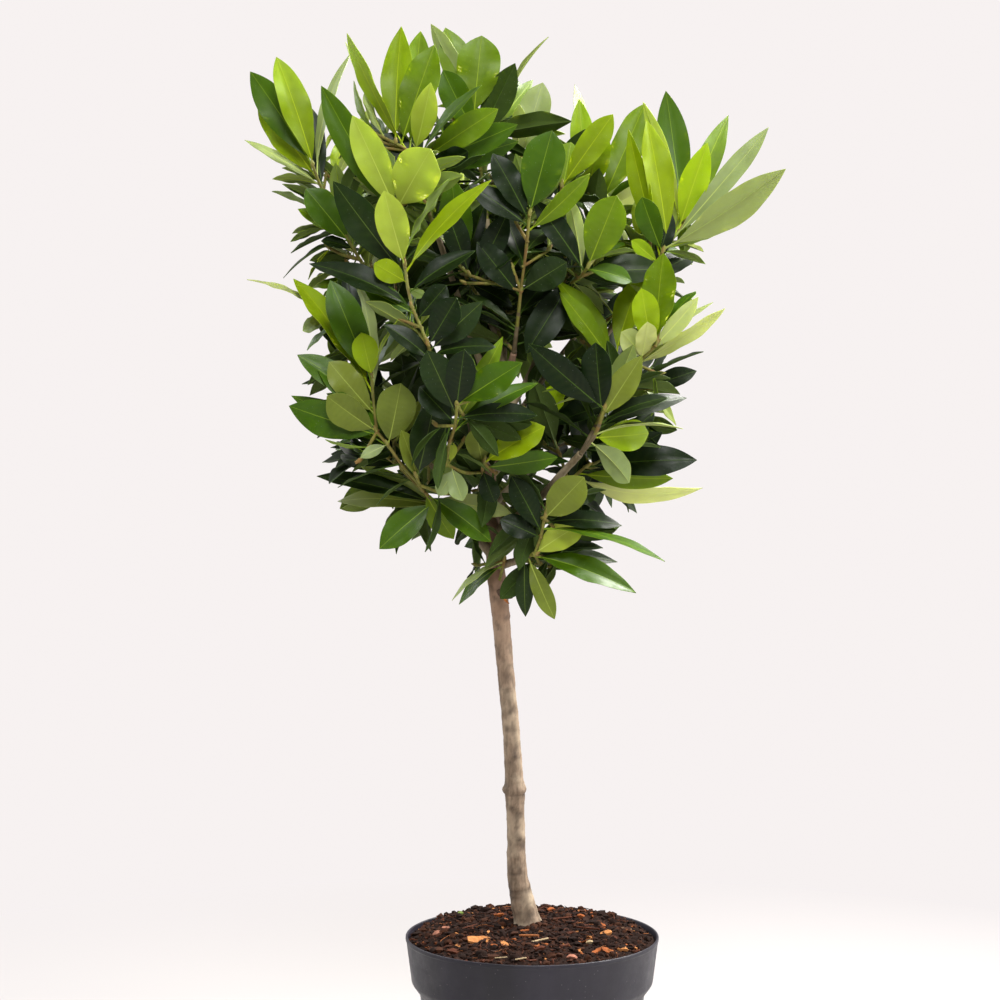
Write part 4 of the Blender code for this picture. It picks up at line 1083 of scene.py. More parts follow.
class FineGrowth:
    """The finer twigs and leaves that fill a mass, with a sequence of chances of their own."""

    def __init__(self, growth, dressed_front):
        self.growth = growth
        self.front = dressed_front
        self.dice = random.Random(f"{SEED} {growth.name} fine")

    def poses(self, root, way, lengths, rank):
        length = self.dice.uniform(*lengths)
        tone = ruled_tone(rank, root)
        for _ in range(TRIES):
            arch = self.dice.uniform(*FINE_ARCH)
            leaf = Leaf(tone, 0, 0, length, length * self.dice.uniform(*FINE_RATIO), arch=arch)
            spin, slope = self.dice.uniform(0, 2 * math.pi), self.dice.uniform(*FINE_SLOPE)
            along = slanting(way, spin, math.radians(slope))
            if self.front and along.y < FRONT_LIMIT:
                along.y = -along.y
            yield Pose(leaf, root, along, facing_up(way, along, FINE_LIFT))

    def dress_twigs(self, solids):
        """Leaves all the way down each twig, from a little below those that it has."""
        for shoot, path in list(self.growth.twigs):
            back = FINE_FROM + WHORL_STEP * (len(shoot.leaves) or WHORL_LEAVES)
            rank = WHORL_LEAVES
            while True:
                root, way, on_twig = back_along(path, back)
                if not on_twig:
                    break
                self.growth.add_leaf(self.poses(root, way, FINE_LENGTHS, rank), solids, False)
                back += self.dice.uniform(*FINE_STEPS)
                rank += 1

    def add_side_shoots(self, solids, count):
        """Short side shoots with a few small leaves, from points along the mass's twigs."""
        growth = self.growth
        for _ in range(count):
            start, way, radius, _ = self.dice.choice(growth.springs)
            turned = Vector(self.dice.gauss(0, 1) for _ in range(3)).normalized()
            out = start - Vector((*CROWN_MIDDLE, CROWN_HEART))
            leaving = (way * SIDE_FORWARD + turned + out.normalized() * SIDE_OUT).normalized()
            if self.front and leaving.y < FRONT_LIMIT:
                leaving.y = -leaving.y
            tip = start + leaving * self.dice.uniform(*SIDE_SHOOTS)
            arriving = (leaving + Vector((0, 0, SIDE_LIFT))).normalized()
            if not in_crown(tip + arriving * SIDE_LENGTHS[0]):
                continue
            others = [s for s in solids if s.owner != growth.name]
            path = bent_twig(start, leaving, tip, arriving, min(radius, SIDE_RADIUS), 0)
            if twig_solid(grown(path, GAP / MM)).meets(others):
                continue
            growth.twigs.append((Shoot(tuple(tip), 0, 0, 0), path))
            solids.append(twig_solid(path, growth.name))
            for k in range(self.dice.choice(SIDE_LEAVES)):
                root, along, _ = back_along(path, k * SIDE_WHORL_STEP)
                growth.add_leaf(self.poses(root, along, SIDE_LENGTHS, k), solids, False)


def grow_foliage(limb_paths, solids):
    """The masses as the solids have them, and then their finer twigs and leaves."""
    masses = dict(FOLIAGE)
    for name, sector in BY_RULE.items():
        masses[name] = Mass(sector.limb, ruled_shoots(sector))
    growths = [start_growth(name, mass, limb_paths) for name, mass in masses.items()]
    for growth in growths:
        for shoot in masses[growth.name].shoots:
            growth.add_twig(shoot, solids)
    for growth in growths:
        growth.add_listed_leaves(solids)
    for growth in growths:
        growth.add_ruled_leaves(solids)
    fine = [FineGrowth(growth, growth.name in FOLIAGE) for growth in growths]
    for part in fine:
        part.dress_twigs(solids)
    for part in fine:
        part.add_side_shoots(solids, SIDE_SHOOTS_EACH)
    return growths


# ---------------------------------------------------------------- meshes from arrays


class Sheaf:
    """Collects many small shapes that become one piece, each face with its material."""

    def __init__(self, *attributes):
        self.points, self.loops, self.sizes, self.slots, self.uvs = [], [], [], [], []
        self.attributes = {name: [] for name in attributes}
        self.count = 0

    def add(self, points, faces, slots, uvs=None, **attributes):
        """Takes points (n, 3), faces (m, 3 or 4), a material each, and a value a point."""
        points = np.asarray(points, float).reshape(-1, 3)
        self.points.append(points)
        for name, values in self.attributes.items():
            values.append(np.broadcast_to(attributes.get(name, 0.0), len(points)))
        self.count += len(points)
        self.more_faces(faces, slots, uvs)

    def more_faces(self, faces, slots, uvs=None):
        """More faces on the points that were added last."""
        faces = np.asarray(faces, int)
        self.loops.append((faces + self.count - len(self.points[-1])).ravel())
        self.sizes.append(np.full(len(faces), faces.shape[1]))
        self.slots.append(np.broadcast_to(slots, len(faces)))
        if uvs is not None:
            self.uvs.append(np.asarray(uvs, float).reshape(-1, 2))

    def piece(self, name, materials, sharp=60):
        """The finished mesh object, with sharp edges where faces meet at more than this angle."""
        mesh = bpy.data.meshes.new(name)
        points = np.concatenate(self.points) * MM
        loops, sizes, slots = map(np.concatenate, (self.loops, self.sizes, self.slots))
        mesh.vertices.add(len(points))
        mesh.vertices.foreach_set("co", points.astype(np.float32).ravel())
        mesh.loops.add(len(loops))
        mesh.loops.foreach_set("vertex_index", loops.astype(np.int32))
        mesh.polygons.add(len(sizes))
        mesh.polygons.foreach_set("loop_start", (np.cumsum(sizes) - sizes).astype(np.int32))
        for made in materials:
            mesh.materials.append(made)
        mesh.polygons.foreach_set("material_index", slots.astype(np.int32))
        mesh.update(calc_edges=True)
        if self.uvs:
            layer = mesh.uv_layers.new(name="OFBake")
            layer.data.foreach_set("uv", np.concatenate(self.uvs).astype(np.float32).ravel())
        for attribute, values in self.attributes.items():
            made = mesh.attributes.new(attribute, "FLOAT", "POINT")
            made.data.foreach_set("value", np.concatenate(values).astype(np.float32))
        mesh.shade_smooth()
        if sharp:
            mesh.set_sharp_from_angle(angle=math.radians(sharp))
        made = bpy.data.objects.new(name, mesh)
        bpy.context.scene.collection.objects.link(made)
        return made


def as_piece(made, slot, *nodes):
    """Has a finished piece ride on the plant and stand for these nodes."""
    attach(made, "root")
    if nodes:
        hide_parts(*nodes)
    return made


def grid_faces(rows, columns, closed=False):
    """The quads of a grid of points, whose last column may join the first."""
    faces = []
    for i in range(rows - 1):
        for j in range(columns if closed else columns - 1):
            right = (j + 1) % columns
            faces.append((i * columns + j, i * columns + right,
                          (i + 1) * columns + right, (i + 1) * columns + j))
    return np.array(faces)


def end_caps(count, sides, flipped=False):
    """Triangles that close a tube of so many points to the two end points after them."""
    last = count - sides
    turn = [(k, (k + 1) % sides) for k in range(sides)]
    if flipped:
        turn = [(b, a) for a, b in turn]
    return [(count, b, a) for a, b in turn] + [(count + 1, last + a, last + b) for a, b in turn]


def rings(path, sides):
    """Centres, outward directions and radii of rings round a path, counted from the front."""
    centres = np.array([tuple(p)[:3] for p in path])
    radii = np.array([tuple(p)[3] for p in path])
    ways = np.gradient(centres, axis=0)
    ways /= np.linalg.norm(ways, axis=1)[:, None]
    across = np.array((0.0, -1.0, 0.0))
    if abs(ways[0] @ across) > 0.9:
        across = np.array((1.0, 0.0, 0.0))
    angles = np.arange(sides) * 2 * math.pi / sides
    outward = np.empty((len(path), sides, 3))
    for k, way in enumerate(ways):
        across = across - way * (way @ across)
        across /= np.linalg.norm(across)
        other = np.cross(way, across)
        outward[k] = np.outer(np.cos(angles), across) + np.outer(np.sin(angles), other)
    return centres, outward, radii


def add_tube(sheaf, path, sides, slots=0, relief=None, **attributes):
    """A closed tube round a path, with this much relief on its rings."""
    centres, outward, radii = rings(path, sides)
    reach = np.repeat(radii[:, None], sides, axis=1)
    if relief is not None:
        reach = reach + relief
    points = (centres[:, None, :] + outward * reach[:, :, None]).reshape(-1, 3)
    values = {
        name: np.concatenate((np.asarray(value, float).ravel(), np.zeros(2)))
        for name, value in attributes.items()
    }
    ring_slots = np.repeat(slots, sides) if np.ndim(slots) else slots
    quads = grid_faces(len(path), sides, closed=True)
    sheaf.add([*points, centres[0], centres[-1]], quads, ring_slots, **values)
    sheaf.more_faces(end_caps(len(points), sides), slots[0] if np.ndim(slots) else slots)


def ringed(points, ends, sides):
    """A closed body of rings of points, with one more point in the middle of each end."""
    sheaf = Sheaf()
    quads = grid_faces(len(points) // sides, sides, closed=True)
    sheaf.add([*points, *ends], quads[:, ::-1], 0)
    sheaf.more_faces(end_caps(len(points), sides, flipped=True), 0)
    return sheaf


def turned(profile, steps):
    """A solid of revolution: the profile starts and ends on the axis, outer side top to bottom."""
    angles = np.arange(steps) * 2 * math.pi / steps
    rounds = np.stack((np.cos(angles), np.sin(angles), np.zeros(steps)), axis=1)
    points = np.concatenate([rounds * radius + (0, 0, height) for radius, height in profile[1:-1]])
    return ringed(points, [(0, 0, height) for _, height in (profile[0], profile[-1])], steps)


def rounded(profile, radius, steps=4):
    """The profile with every corner between its ends rounded by up to this radius."""
    found = [profile[0]]
    for before, corner, after in zip(profile, profile[1:], profile[2:]):
        a, b, c = (np.array(p, float) for p in (before, corner, after))
        reach = min(radius, 0.45 * np.linalg.norm(a - b), 0.45 * np.linalg.norm(c - b))
        start = b + (a - b) / np.linalg.norm(a - b) * reach
        end = b + (c - b) / np.linalg.norm(c - b) * reach
        for k in range(steps + 1):
            t = k / steps
            found.append(tuple((1 - t) ** 2 * start + 2 * t * (1 - t) * b + t * t * end))
    return [*found, profile[-1]]


# ---------------------------------------------------------------- leaves


WIDTH_SHARE = 0.94  # how wide a blade is beside its plain solid
BLADE_CURVE = ((0.5, 0.08), (1.75, 0.3), (2.1, 0.9))  # widest place, powers of foot and tip
BLUNT = (-0.1, 0.8)
ROUND_BLUNT = 1.1  # for a leaf as wide as this by its length
ROUND_RATIO = 0.46
LEAST_HALF = 0.12
LEAF_ROWS = 20
ACROSS = np.array((1.0, 0.7, 0.36, 0.0))  # blade columns from the margin to the midrib
CHEVRON = 0.17  # how far the side veins run forwards
CHEVRON_FOOT = 0.15
FOLD = (9, 25)  # degrees up from the midrib, easing off towards the margin
FOLD_EASE = 0.35
WAVE = (0.02, 0.06)
WAVES_ALONG = (1.6, 3.1)
CRIMP = (0.004, 0.012)  # fine waves of the margin
CRIMPS_ALONG = 5.5
QUILT = 0.012  # relief of the side veins
TWIST = 5
BEND = 0.02
THICK_AT_RIB = 0.24
THICK_LESS = 0.1
RIB_HALF = (0.42, 0.1)  # midrib: half its width at the blade's foot and at its tip
RIB_MOST = 0.8
RIB_ABOVE = 0.1
RIB_BELOW = (0.5, 0.35)  # at the foot, and how much less at the tip
FULL_RIB_LENGTH = 45  # a shorter leaf has a finer rib, and a finer stalk under its own length
FULL_PETIOLE_LENGTH = 50
VEIN_SIDE = 0.7
VEIN_MIDDLE = 0.3
PETIOLE_SHARE = 0.09
PETIOLE_SIDES = 5
PETIOLE = ((-0.008, 0.95), (PETIOLE_SHARE * 0.5, 0.72), (PETIOLE_SHARE * 1.35, 0.5))
PETIOLE_BELOW = 0.35

# A leaf's cell in the OFBake UV map: the two faces side by side, then the rim and a spare corner
FACE_STARTS = (0.02, 0.5)
FACE_WIDTH = 0.44
RIM_START = 0.96
RIM_WIDTH = 0.02
CELL_MARGIN = 0.03
SPARE_PLACE = (0.98, 0.02)


class LeafPattern:
    """What all leaves share: the grid's faces, their materials and their place in the UV map."""

    def __init__(self):
        self.share = np.concatenate((-ACROSS, (0.0,), ACROSS[::-1]))  # 9 columns
        self.side = np.concatenate((-np.ones(4), (0.0,), np.ones(4)))
        columns, rows = len(self.share), LEAF_ROWS + 1
        count = rows * columns
        quads = grid_faces(rows, columns)
        column_of = np.tile(np.arange(columns - 1), LEAF_ROWS)
        is_rib = (column_of == 3) | (column_of == 4)
        under = quads[:, ::-1] + count
        rim = []
        for i in range(LEAF_ROWS):
            low, high = i * columns, (i + 1) * columns
            rim.append((low, high, high + count, low + count))
            low, high = low + columns - 1, high + columns - 1
            rim.append((high, low, low + count, high + count))
        for j in range(columns - 1):
            last = LEAF_ROWS * columns
            rim.append((j + 1, j, j + count, j + 1 + count))
            rim.append((last + j, last + j + 1, last + j + 1 + count, last + j + count))
        self.faces = np.concatenate((quads, under, rim))
        kind = np.where(is_rib, 2, 0), np.where(is_rib, 2, 1), np.full(len(rim), 2)
        self.kinds = np.concatenate(kind)  # 0 upper face, 1 underside, 2 rib and rim
        row, column = np.divmod(np.arange(count), columns)
        flat = np.stack((column / (columns - 1) * FACE_WIDTH, row / LEAF_ROWS), axis=1)
        uvs = np.concatenate([flat + (start, 0) for start in FACE_STARTS])[self.faces]
        uvs[-len(rim):, :, 0] = uvs[-len(rim):, :, 0] * RIM_WIDTH + RIM_START
        self.uvs = uvs * (1 - 2 * CELL_MARGIN) + CELL_MARGIN
        self.rows = np.linspace(0, 1, rows)[:, None]
        self.parity = (np.arange(rows) % 2)[:, None]


PATTERN = LeafPattern()


def half_width(t, blunt):
    """Half a blade's width along it as a share of its greatest: a wedge foot, a drawn-out tip."""
    widest, foot_power, tip_power = (first + more * blunt for first, more in BLADE_CURVE)
    away = np.where(t < widest, (widest - t) / widest, (t - widest) / (1 - widest))
    return 1 - np.clip(away, 0, 1) ** np.where(t < widest, foot_power, tip_power)


def leaf_points(pose, dice):
    """The points of a leaf's upper face and underside, how veined each is and how far along."""
    leaf = pose.leaf
    along, face = np.array(pose.along), np.array(pose.face)
    side = np.cross(along, face)
    length = leaf.length
    blunt = ROUND_BLUNT if leaf.width / length > ROUND_RATIO else dice.uniform(*BLUNT)
    share, sides = np.abs(PATTERN.share)[None, :], PATTERN.side[None, :]
    rows = PATTERN.rows
    t = rows + CHEVRON * share * (1 - rows) * np.minimum(1, rows / CHEVRON_FOOT)
    half = np.maximum(leaf.width * WIDTH_SHARE / 2 * half_width(t, blunt), LEAST_HALF)
    rib = np.minimum(RIB_HALF[0] + (RIB_HALF[1] - RIB_HALF[0]) * t, half * RIB_MOST)
    rib = rib * min(1.0, length / FULL_RIB_LENGTH)
    x = sides * (rib + (half - rib) * share)
    at = PETIOLE_SHARE + (1 - PETIOLE_SHARE) * t
    fold = math.tan(math.radians(dice.uniform(*FOLD)))
    wave = dice.uniform(*WAVE) * leaf.width
    phases = np.where(sides < 0, dice.uniform(0, 6.3), dice.uniform(0, 6.3))
    waves = dice.uniform(*WAVES_ALONG)
    ends = np.sin(math.pi * t)
    lift = np.abs(x) * fold * (1 - FOLD_EASE * share)
    lift = lift + wave * share**2 * ends * np.sin(2 * math.pi * waves * t + phases)
    crimp = dice.uniform(*CRIMP) * leaf.width * np.sin(2 * math.pi * (CRIMPS_ALONG * t + phases))
    lift = lift + crimp * share**4 * ends
    quilt = QUILT * length / 60 * (PATTERN.parity - 0.5) * 4 * share * (1 - share)
    lift = lift + quilt * np.sin(math.pi * np.clip(t, 0, 1))
    x = x + length * dice.gauss(0, BEND) * at**2
    twist = math.radians(dice.gauss(0, TWIST)) * at
    droop = length * (leaf.arch / 100 * at**2)
    thick = THICK_AT_RIB - THICK_LESS * share
    is_middle = sides == 0
    upper = lift + thick + np.where(is_middle, RIB_ABOVE, 0)
    under = lift - thick - np.where(is_middle, RIB_BELOW[0] - RIB_BELOW[1] * t, 0)
    found = []
    for z in (upper, under):
        across = x * np.cos(twist) - z * np.sin(twist)
        rise = x * np.sin(twist) + z * np.cos(twist) - droop
        found.append(np.array(pose.root) + (length * at)[..., None] * along
                     + across[..., None] * side + rise[..., None] * face)
    vein = (1 - PATTERN.parity) * (1 - share) * VEIN_SIDE + np.where(share < 0.01, VEIN_MIDDLE, 0)
    vein, reach = np.broadcast_to(vein, x.shape), np.broadcast_to(t, x.shape)
    return np.stack(found).reshape(-1, 3), np.tile(vein.ravel(), 2), np.tile(reach.ravel(), 2)


def add_leaf_mesh(sheaf, pose, number, cells, dice):
    """One leaf with its petiole, whose upper face, underside and ribs have their own materials."""
    points, vein, reach = leaf_points(pose, dice)
    tone = TONES.index(pose.leaf.tone)
    cell = np.array(divmod(number, cells))
    tint = dice.uniform(0, 1)
    sheaf.add(points, PATTERN.faces, (3 * tone + np.arange(3))[PATTERN.kinds],
              (PATTERN.uvs + cell) / cells, vein=vein, tint=tint, reach=reach)
    length = pose.leaf.length
    droop = length * pose.leaf.arch / 100
    path = []
    for t, radius in PETIOLE:
        middle = pose.root + pose.along * (length * t)
        middle -= pose.face * (droop * t * t + PETIOLE_BELOW)
        path.append((*middle, radius * min(1.0, length / FULL_PETIOLE_LENGTH)))
    stalk = Sheaf()
    add_tube(stalk, path, PETIOLE_SIDES)
    spare = (np.array(SPARE_PLACE) + cell) / cells
    quads, caps = (loops.reshape(-1, sizes[0]) for loops, sizes in zip(stalk.loops, stalk.sizes))
    last = 3 * tone + 2
    sheaf.add(stalk.points[0], quads, last, np.tile(spare, (quads.size, 1)), tint=tint)
    sheaf.more_faces(caps, last, np.tile(spare, (caps.size, 1)))


def build_leaves(growth, materials):
    dice = random.Random(f"{SEED} {growth.name} blades")
    sheaf = Sheaf("vein", "tint", "reach")
    cells = math.ceil(math.sqrt(len(growth.leaves)))
    for number, pose in enumerate(growth.leaves):
        add_leaf_mesh(sheaf, pose, number, cells, dice)
    name = growth.name.replace("foliage", "leaves")
    return as_piece(sheaf.piece(name, materials), "leaf", growth.name)


# ---------------------------------------------------------------- twigs, boughs and stem


TWIG_SIDES = 8
TWIG_SHARE = 0.78  # how thick a twig is beside its plain solid
TWIG_ROOT = 1.2  # how deep it starts in what carries it
TWIG_STEPS = 9
OLD_TWIG = 1.5  # a twig thicker than this has grey bark
NODE_STEP = 9
NODE_SWELL = 0.16
NODE_POWER = 6
BUD_LENGTH = 5.5
BUD_SHAPE = ((-0.15, 1.0), (0.05, 1.35), (0.3, 1.6), (0.6, 1.3), (0.85, 0.75), (1.0, 0.25))
BUDS = ((0.0, 1.0), (0.7, 0.8))  # how far each is shifted, and its size
BUD_LEAN = 0.12
BARK_GRAIN = (2.2, 0.35)  # around and along a limb
STREAK_SCALE = 2.6
STREAK_SHARE = 0.5
LUMP_SCALE = 0.55
BOUGH_STEPS = 14
FINE_BOUGH_SIDES = 18
COLLAR = 0.3
COLLAR_RINGS = 10
STEM_SIDES = 40
STEM_STEP_MM = 1.2
STEM_RELIEF = 0.45


def swollen(path, dice):
    """The path with a slight swelling at each leaf scar."""
    phase = dice.uniform(0, NODE_STEP)
    travelled, found, last = 0.0, [], None
    for point in path:
        here = Vector(tuple(point)[:3])
        travelled += (here - last).length if last else 0
        last = here
        swell = max(0.0, math.cos(2 * math.pi * (travelled + phase) / NODE_STEP)) ** NODE_POWER
        found.append(Vector((*here, tuple(point)[3] * (1 + NODE_SWELL * swell))))
    return found


def build_twigs(growth, materials):
    """A mass's twigs: young ones green, old ones grey, and two buds at each tip."""
    dice = random.Random(f"{SEED} {growth.name} bark")
    sheaf = Sheaf()
    for _, path in growth.twigs:
        start, after = Vector(path[0][:3]), Vector(path[1][:3])
        sunk = start - (after - start).normalized() * TWIG_ROOT
        whole = [(*sunk, path[0][3]), *path[:-1]]
        whole = [Vector((*point[:3], point[3] * TWIG_SHARE)) for point in whole]
        fine = swollen(smooth(whole, TWIG_STEPS), dice)
        slots = [1 if point[3] > OLD_TWIG else 0 for point in fine[:-1]]
        add_tube(sheaf, fine, TWIG_SIDES, slots)
        tip, way = Vector(path[-2][:3]), Vector(path[-1][:3]) - Vector(path[-2][:3])
        way.normalize()
        for shift, size in BUDS:
            lean = Vector(dice.gauss(0, BUD_LEAN) for _ in range(3))
            bud = [(*(tip + (way + lean * share) * (BUD_LENGTH * share * size + shift)), r * size)
                   for share, r in BUD_SHAPE]
            add_tube(sheaf, bud, TWIG_SIDES, 2)
    name = growth.name.replace("foliage", "twigs")
    return as_piece(sheaf.piece(name, materials, sharp=0), "young_bark")


def bark_relief(path, sides, step, depth, seed):
    """Fine lengthwise ridges and slow lumps on the rings of a limb."""
    relief = np.empty((len(path), sides))
    for k, s in itertools.product(range(len(path)), range(sides)):
        angle = 2 * math.pi * s / sides
        around, along = BARK_GRAIN
        place = Vector((math.cos(angle) * around, math.sin(angle) * around, k * step * along))
        streak = noise.noise(place * STREAK_SCALE + Vector((seed, 0, 0)))
        lump = noise.noise(place * LUMP_SCALE + Vector((0, seed, 0)))
        relief[k, s] = depth * (STREAK_SHARE * streak + lump)
    return relief


def build_boughs(materials):
    """The boughs' bark, a little wider where each leaves the stem."""
    sheaf = Sheaf("dark")
    for number, sizes in enumerate(BOUGHS.values()):
        path = bough_path(*sizes, steps=BOUGH_STEPS)
        for k, point in enumerate(path[:COLLAR_RINGS]):
            point.w *= 1 + COLLAR * (1 - k / COLLAR_RINGS) ** 2
        relief = bark_relief(path, FINE_BOUGH_SIDES, 1.4, 0.22, number * 3.7)
        # Painted shade: the bark is darker where its relief sinks
        dark = np.clip(-relief * 2.5, 0, 1)
        add_tube(sheaf, path, FINE_BOUGH_SIDES, 0, relief, dark=dark)
    return as_piece(sheaf.piece("boughs_bark", materials, sharp=0), "young_bark", *BOUGHS)


def build_trunk(materials):
    """The stem's bark: fine ridges, slow lumps, and each scar that the real stem shows."""
    path = []
    for point in trunk_path(24):
        if path and (Vector(point[:3]) - Vector(path[-1][:3])).length < STEM_STEP_MM:
            continue
        path.append(point)
    relief = bark_relief(path, STEM_SIDES, STEM_STEP_MM, STEM_RELIEF, 11.3)
    # Painted shade: the bark is darker where its relief sinks; the scars below add their own marks
    dark = np.clip(-relief * 2.2, 0, 0.7)
    heights = np.array([point[2] for point in path])[:, None]
    angles = (np.arange(STEM_SIDES) * 360 / STEM_SIDES)[None, :]
    for height, azimuth, wide, tall, rise, shade in SCARS:
        aside = (angles - azimuth + 180) % 360 - 180
        shape = np.exp(-((aside / wide) ** 2) - ((heights - height) / tall) ** 2)
        relief = relief + rise * shape
        dark = dark + shade * shape
    sheaf = Sheaf("dark")
    add_tube(sheaf, path, STEM_SIDES, 0, relief, dark=np.clip(dark, 0, 1))
    return as_piece(sheaf.piece("trunk_bark", materials, sharp=0), "bark", "trunk")


def build_stub(materials):
    """The brown stub of a pruned branch, with a strip of torn bark beside it."""
    dice = random.Random(f"{SEED} stub")
    start = Vector(on_trunk(STUB_HEIGHT))
    path, strip = (
        smooth([Vector((*(start + Vector(step)), radius)) for step, radius in steps], 5)
        for steps in (STUB_PATH, TORN_PATH)
    )
    relief = bark_relief(path, STUB_SIDES, 1.2, 0.5, 5.1)
    relief[-1] += [dice.uniform(*STUB_END) for _ in range(STUB_SIDES)]
    sheaf = Sheaf("dark")
    add_tube(sheaf, path, STUB_SIDES, 0, relief, dark=np.full((len(path), STUB_SIDES), 0.55))
    add_tube(sheaf, strip, TORN_SIDES, 1)
    return as_piece(sheaf.piece("pruned_stub", materials, sharp=50), "bark")


# ---------------------------------------------------------------- pot, compost and what lies on it


def build_pot(material):
    """The pot's wall and rim band, its corners rounded and its floor drilled."""
    band_foot = POT_HEIGHT - BAND_DEPTH
    neck = band_foot - NECK_DROP
    profile = [
        (0, FLOOR),
        (FOOT_RADIUS - WALL, FLOOR),
        (NECK_RADIUS - WALL, neck),
        (BAND_FOOT_RADIUS - WALL, band_foot + 0.5),
        (RIM_RADIUS - WALL, POT_HEIGHT),
        (RIM_RADIUS, POT_HEIGHT),
        (RIM_RADIUS, POT_HEIGHT - LIP_DEPTH),
        (RIM_RADIUS - LIP_STEP, POT_HEIGHT - LIP_DEPTH - 0.6),
        (BAND_FOOT_RADIUS, band_foot + 1.5),
        (BAND_FOOT_RADIUS - 0.8, band_foot),
        (NECK_RADIUS, neck),
        (FOOT_RADIUS + 0.6, 2.2),
        (FOOT_RADIUS - 1.2, 0),
        (0, 0),
    ]
    wall = turned(rounded(profile, POT_ROUNDING), POT_SIDES)
    pot = wall.piece("nursery_pot", [material], POT_SHARP)
    drills = []
    for k in range(DRAIN_HOLES):
        angle = 2 * math.pi * (k + 0.5) / DRAIN_HOLES
        centre = (DRAIN_RING * math.cos(angle), DRAIN_RING * math.sin(angle), FLOOR / 2)
        bpy.ops.mesh.primitive_cylinder_add(
            vertices=DRAIN_SIDES, radius=DRAIN_RADIUS * MM, depth=4 * FLOOR * MM,
            location=Vector(centre) * MM,
        )
        drills.append(bpy.context.object)
        cut = pot.modifiers.new(f"drain_{k}", "BOOLEAN")
        cut.operation = "DIFFERENCE"
        cut.object = drills[-1]
    graph = bpy.context.evaluated_depsgraph_get()
    mesh = bpy.data.meshes.new_from_object(pot.evaluated_get(graph))
    pot.modifiers.clear()
    pot.data = mesh
    for drill in drills:
        bpy.data.objects.remove(drill)
    mesh.shade_smooth()
    mesh.set_sharp_from_angle(angle=math.radians(POT_SHARP))
    return as_piece(pot, "pot", "pot")


def ground_height(x, y):
    """The compost's surface: heaped round the stem, sinking to the pot's wall, with lumps."""
    out = math.hypot(x, y)
    height = np.interp(out, *zip(*SOIL_PROFILE))
    place = Vector((x, y, 0))
    lumps = sum(high * noise.noise(place / wide) for wide, high in SOIL_LUMPS)
    calm = min(1.0, (SOIL_RADIUS - out) / CALM_EDGE)
    for hx, hy, reach, depth in HOLLOWS:
        lumps -= depth * math.exp(-((x - hx) ** 2 + (y - hy) ** 2) / reach**2)
    heaped = REAR_HEAP * min(1.0, max(0.0, (y - REAR_HEAP_FROM) / REAR_HEAP_RUN))
    return height + heaped + lumps * max(CALM_LEAST, calm)


def build_compost(material):
    """The compost as one closed body, from its lumpy surface down to the pot's floor."""
    angles = np.arange(SOIL_SIDES) * 2 * math.pi / SOIL_SIDES
    radii = SOIL_RADIUS * np.linspace(0, 1, SOIL_RINGS + 1)[1:] ** SOIL_RING_POWER
    points = []
    for radius, angle in itertools.product(radii, angles):
        x, y = radius * math.cos(angle), radius * math.sin(angle)
        points.append((x, y, ground_height(x, y)))
    band_foot = POT_HEIGHT - BAND_DEPTH
    clear, foot = WALL + SOIL_CLEAR, FLOOR + 0.5
    for radius, height in ((BAND_FOOT_RADIUS - clear, band_foot),
                           (NECK_RADIUS - clear, band_foot - NECK_DROP),
                           (FOOT_RADIUS - clear, foot)):
        points += [(radius * math.cos(a), radius * math.sin(a), height) for a in angles]
    body = ringed(points, [(0, 0, ground_height(0, 0)), (0, 0, foot)], SOIL_SIDES)
    return as_piece(body.piece("compost_bed", [material]), "compost", "compost")


def placed(points, place, yaw, tilt=0, roll=0):
    turn = (Matrix.Rotation(yaw, 3, "Z") @ Matrix.Rotation(tilt, 3, "X")
            @ Matrix.Rotation(roll, 3, "Y"))
    return points @ np.array(turn).T + np.array(place)


def add_chip(sheaf, dice, place, size, slot, yaw=None, tilt=None):
    """An angular flake of bark: a bent box of five sections with uneven corners."""
    long, wide, thick = size
    points = []
    bend = dice.uniform(-CHIP_BEND, CHIP_BEND)
    for k in range(CHIP_SECTIONS):
        t = k / (CHIP_SECTIONS - 1) * 2 - 1
        taper = (1 - abs(t) ** 2.5 * CHIP_TAPER) * dice.uniform(*CHIP_UNEVEN)
        lift = bend * long * 0.5 * t * t
        for a, b in ((-1, -1), (1, -1), (1, 1), (-1, 1)):
            across = a * wide / 2 * taper + dice.uniform(-0.08, 0.08) * wide
            up = b * thick / 2 * taper + lift + dice.uniform(-0.15, 0.15) * thick
            points.append((t * long / 2, across, up))
    faces = grid_faces(CHIP_SECTIONS, 4, closed=True)
    caps = [(3, 2, 1, 0), (16, 17, 18, 19)]
    yaw = dice.uniform(0, 6.3) if yaw is None else yaw
    tilt = dice.gauss(0, CHIP_TILT) if tilt is None else tilt
    points = placed(np.array(points), place, yaw, tilt, dice.gauss(0, CHIP_ROLL))
    sheaf.add(points, np.concatenate((faces, caps)), slot)


def on_ground(dice, inner=STREWN_FROM, edge=3):
    """A chance place on the compost, clear of the stem and of the compost's edge."""
    radius = math.sqrt(dice.uniform(inner**2, (SOIL_RADIUS - edge) ** 2))
    angle = dice.uniform(0, 2 * math.pi)
    x, y = radius * math.cos(angle) + STEM_FOOT[0] * 0.3, radius * math.sin(angle)
    return x, y, ground_height(x, y)


def seen_at(px, py):
    """The point of the compost under a pixel of the 1000 x 1000 front view."""
    reach = (CAMERA[2] - PLACED_HEIGHT) * FOCAL_PX / (py - 500)
    return CAMERA[0] + (px - 500) / FOCAL_PX * reach, CAMERA[1] + reach


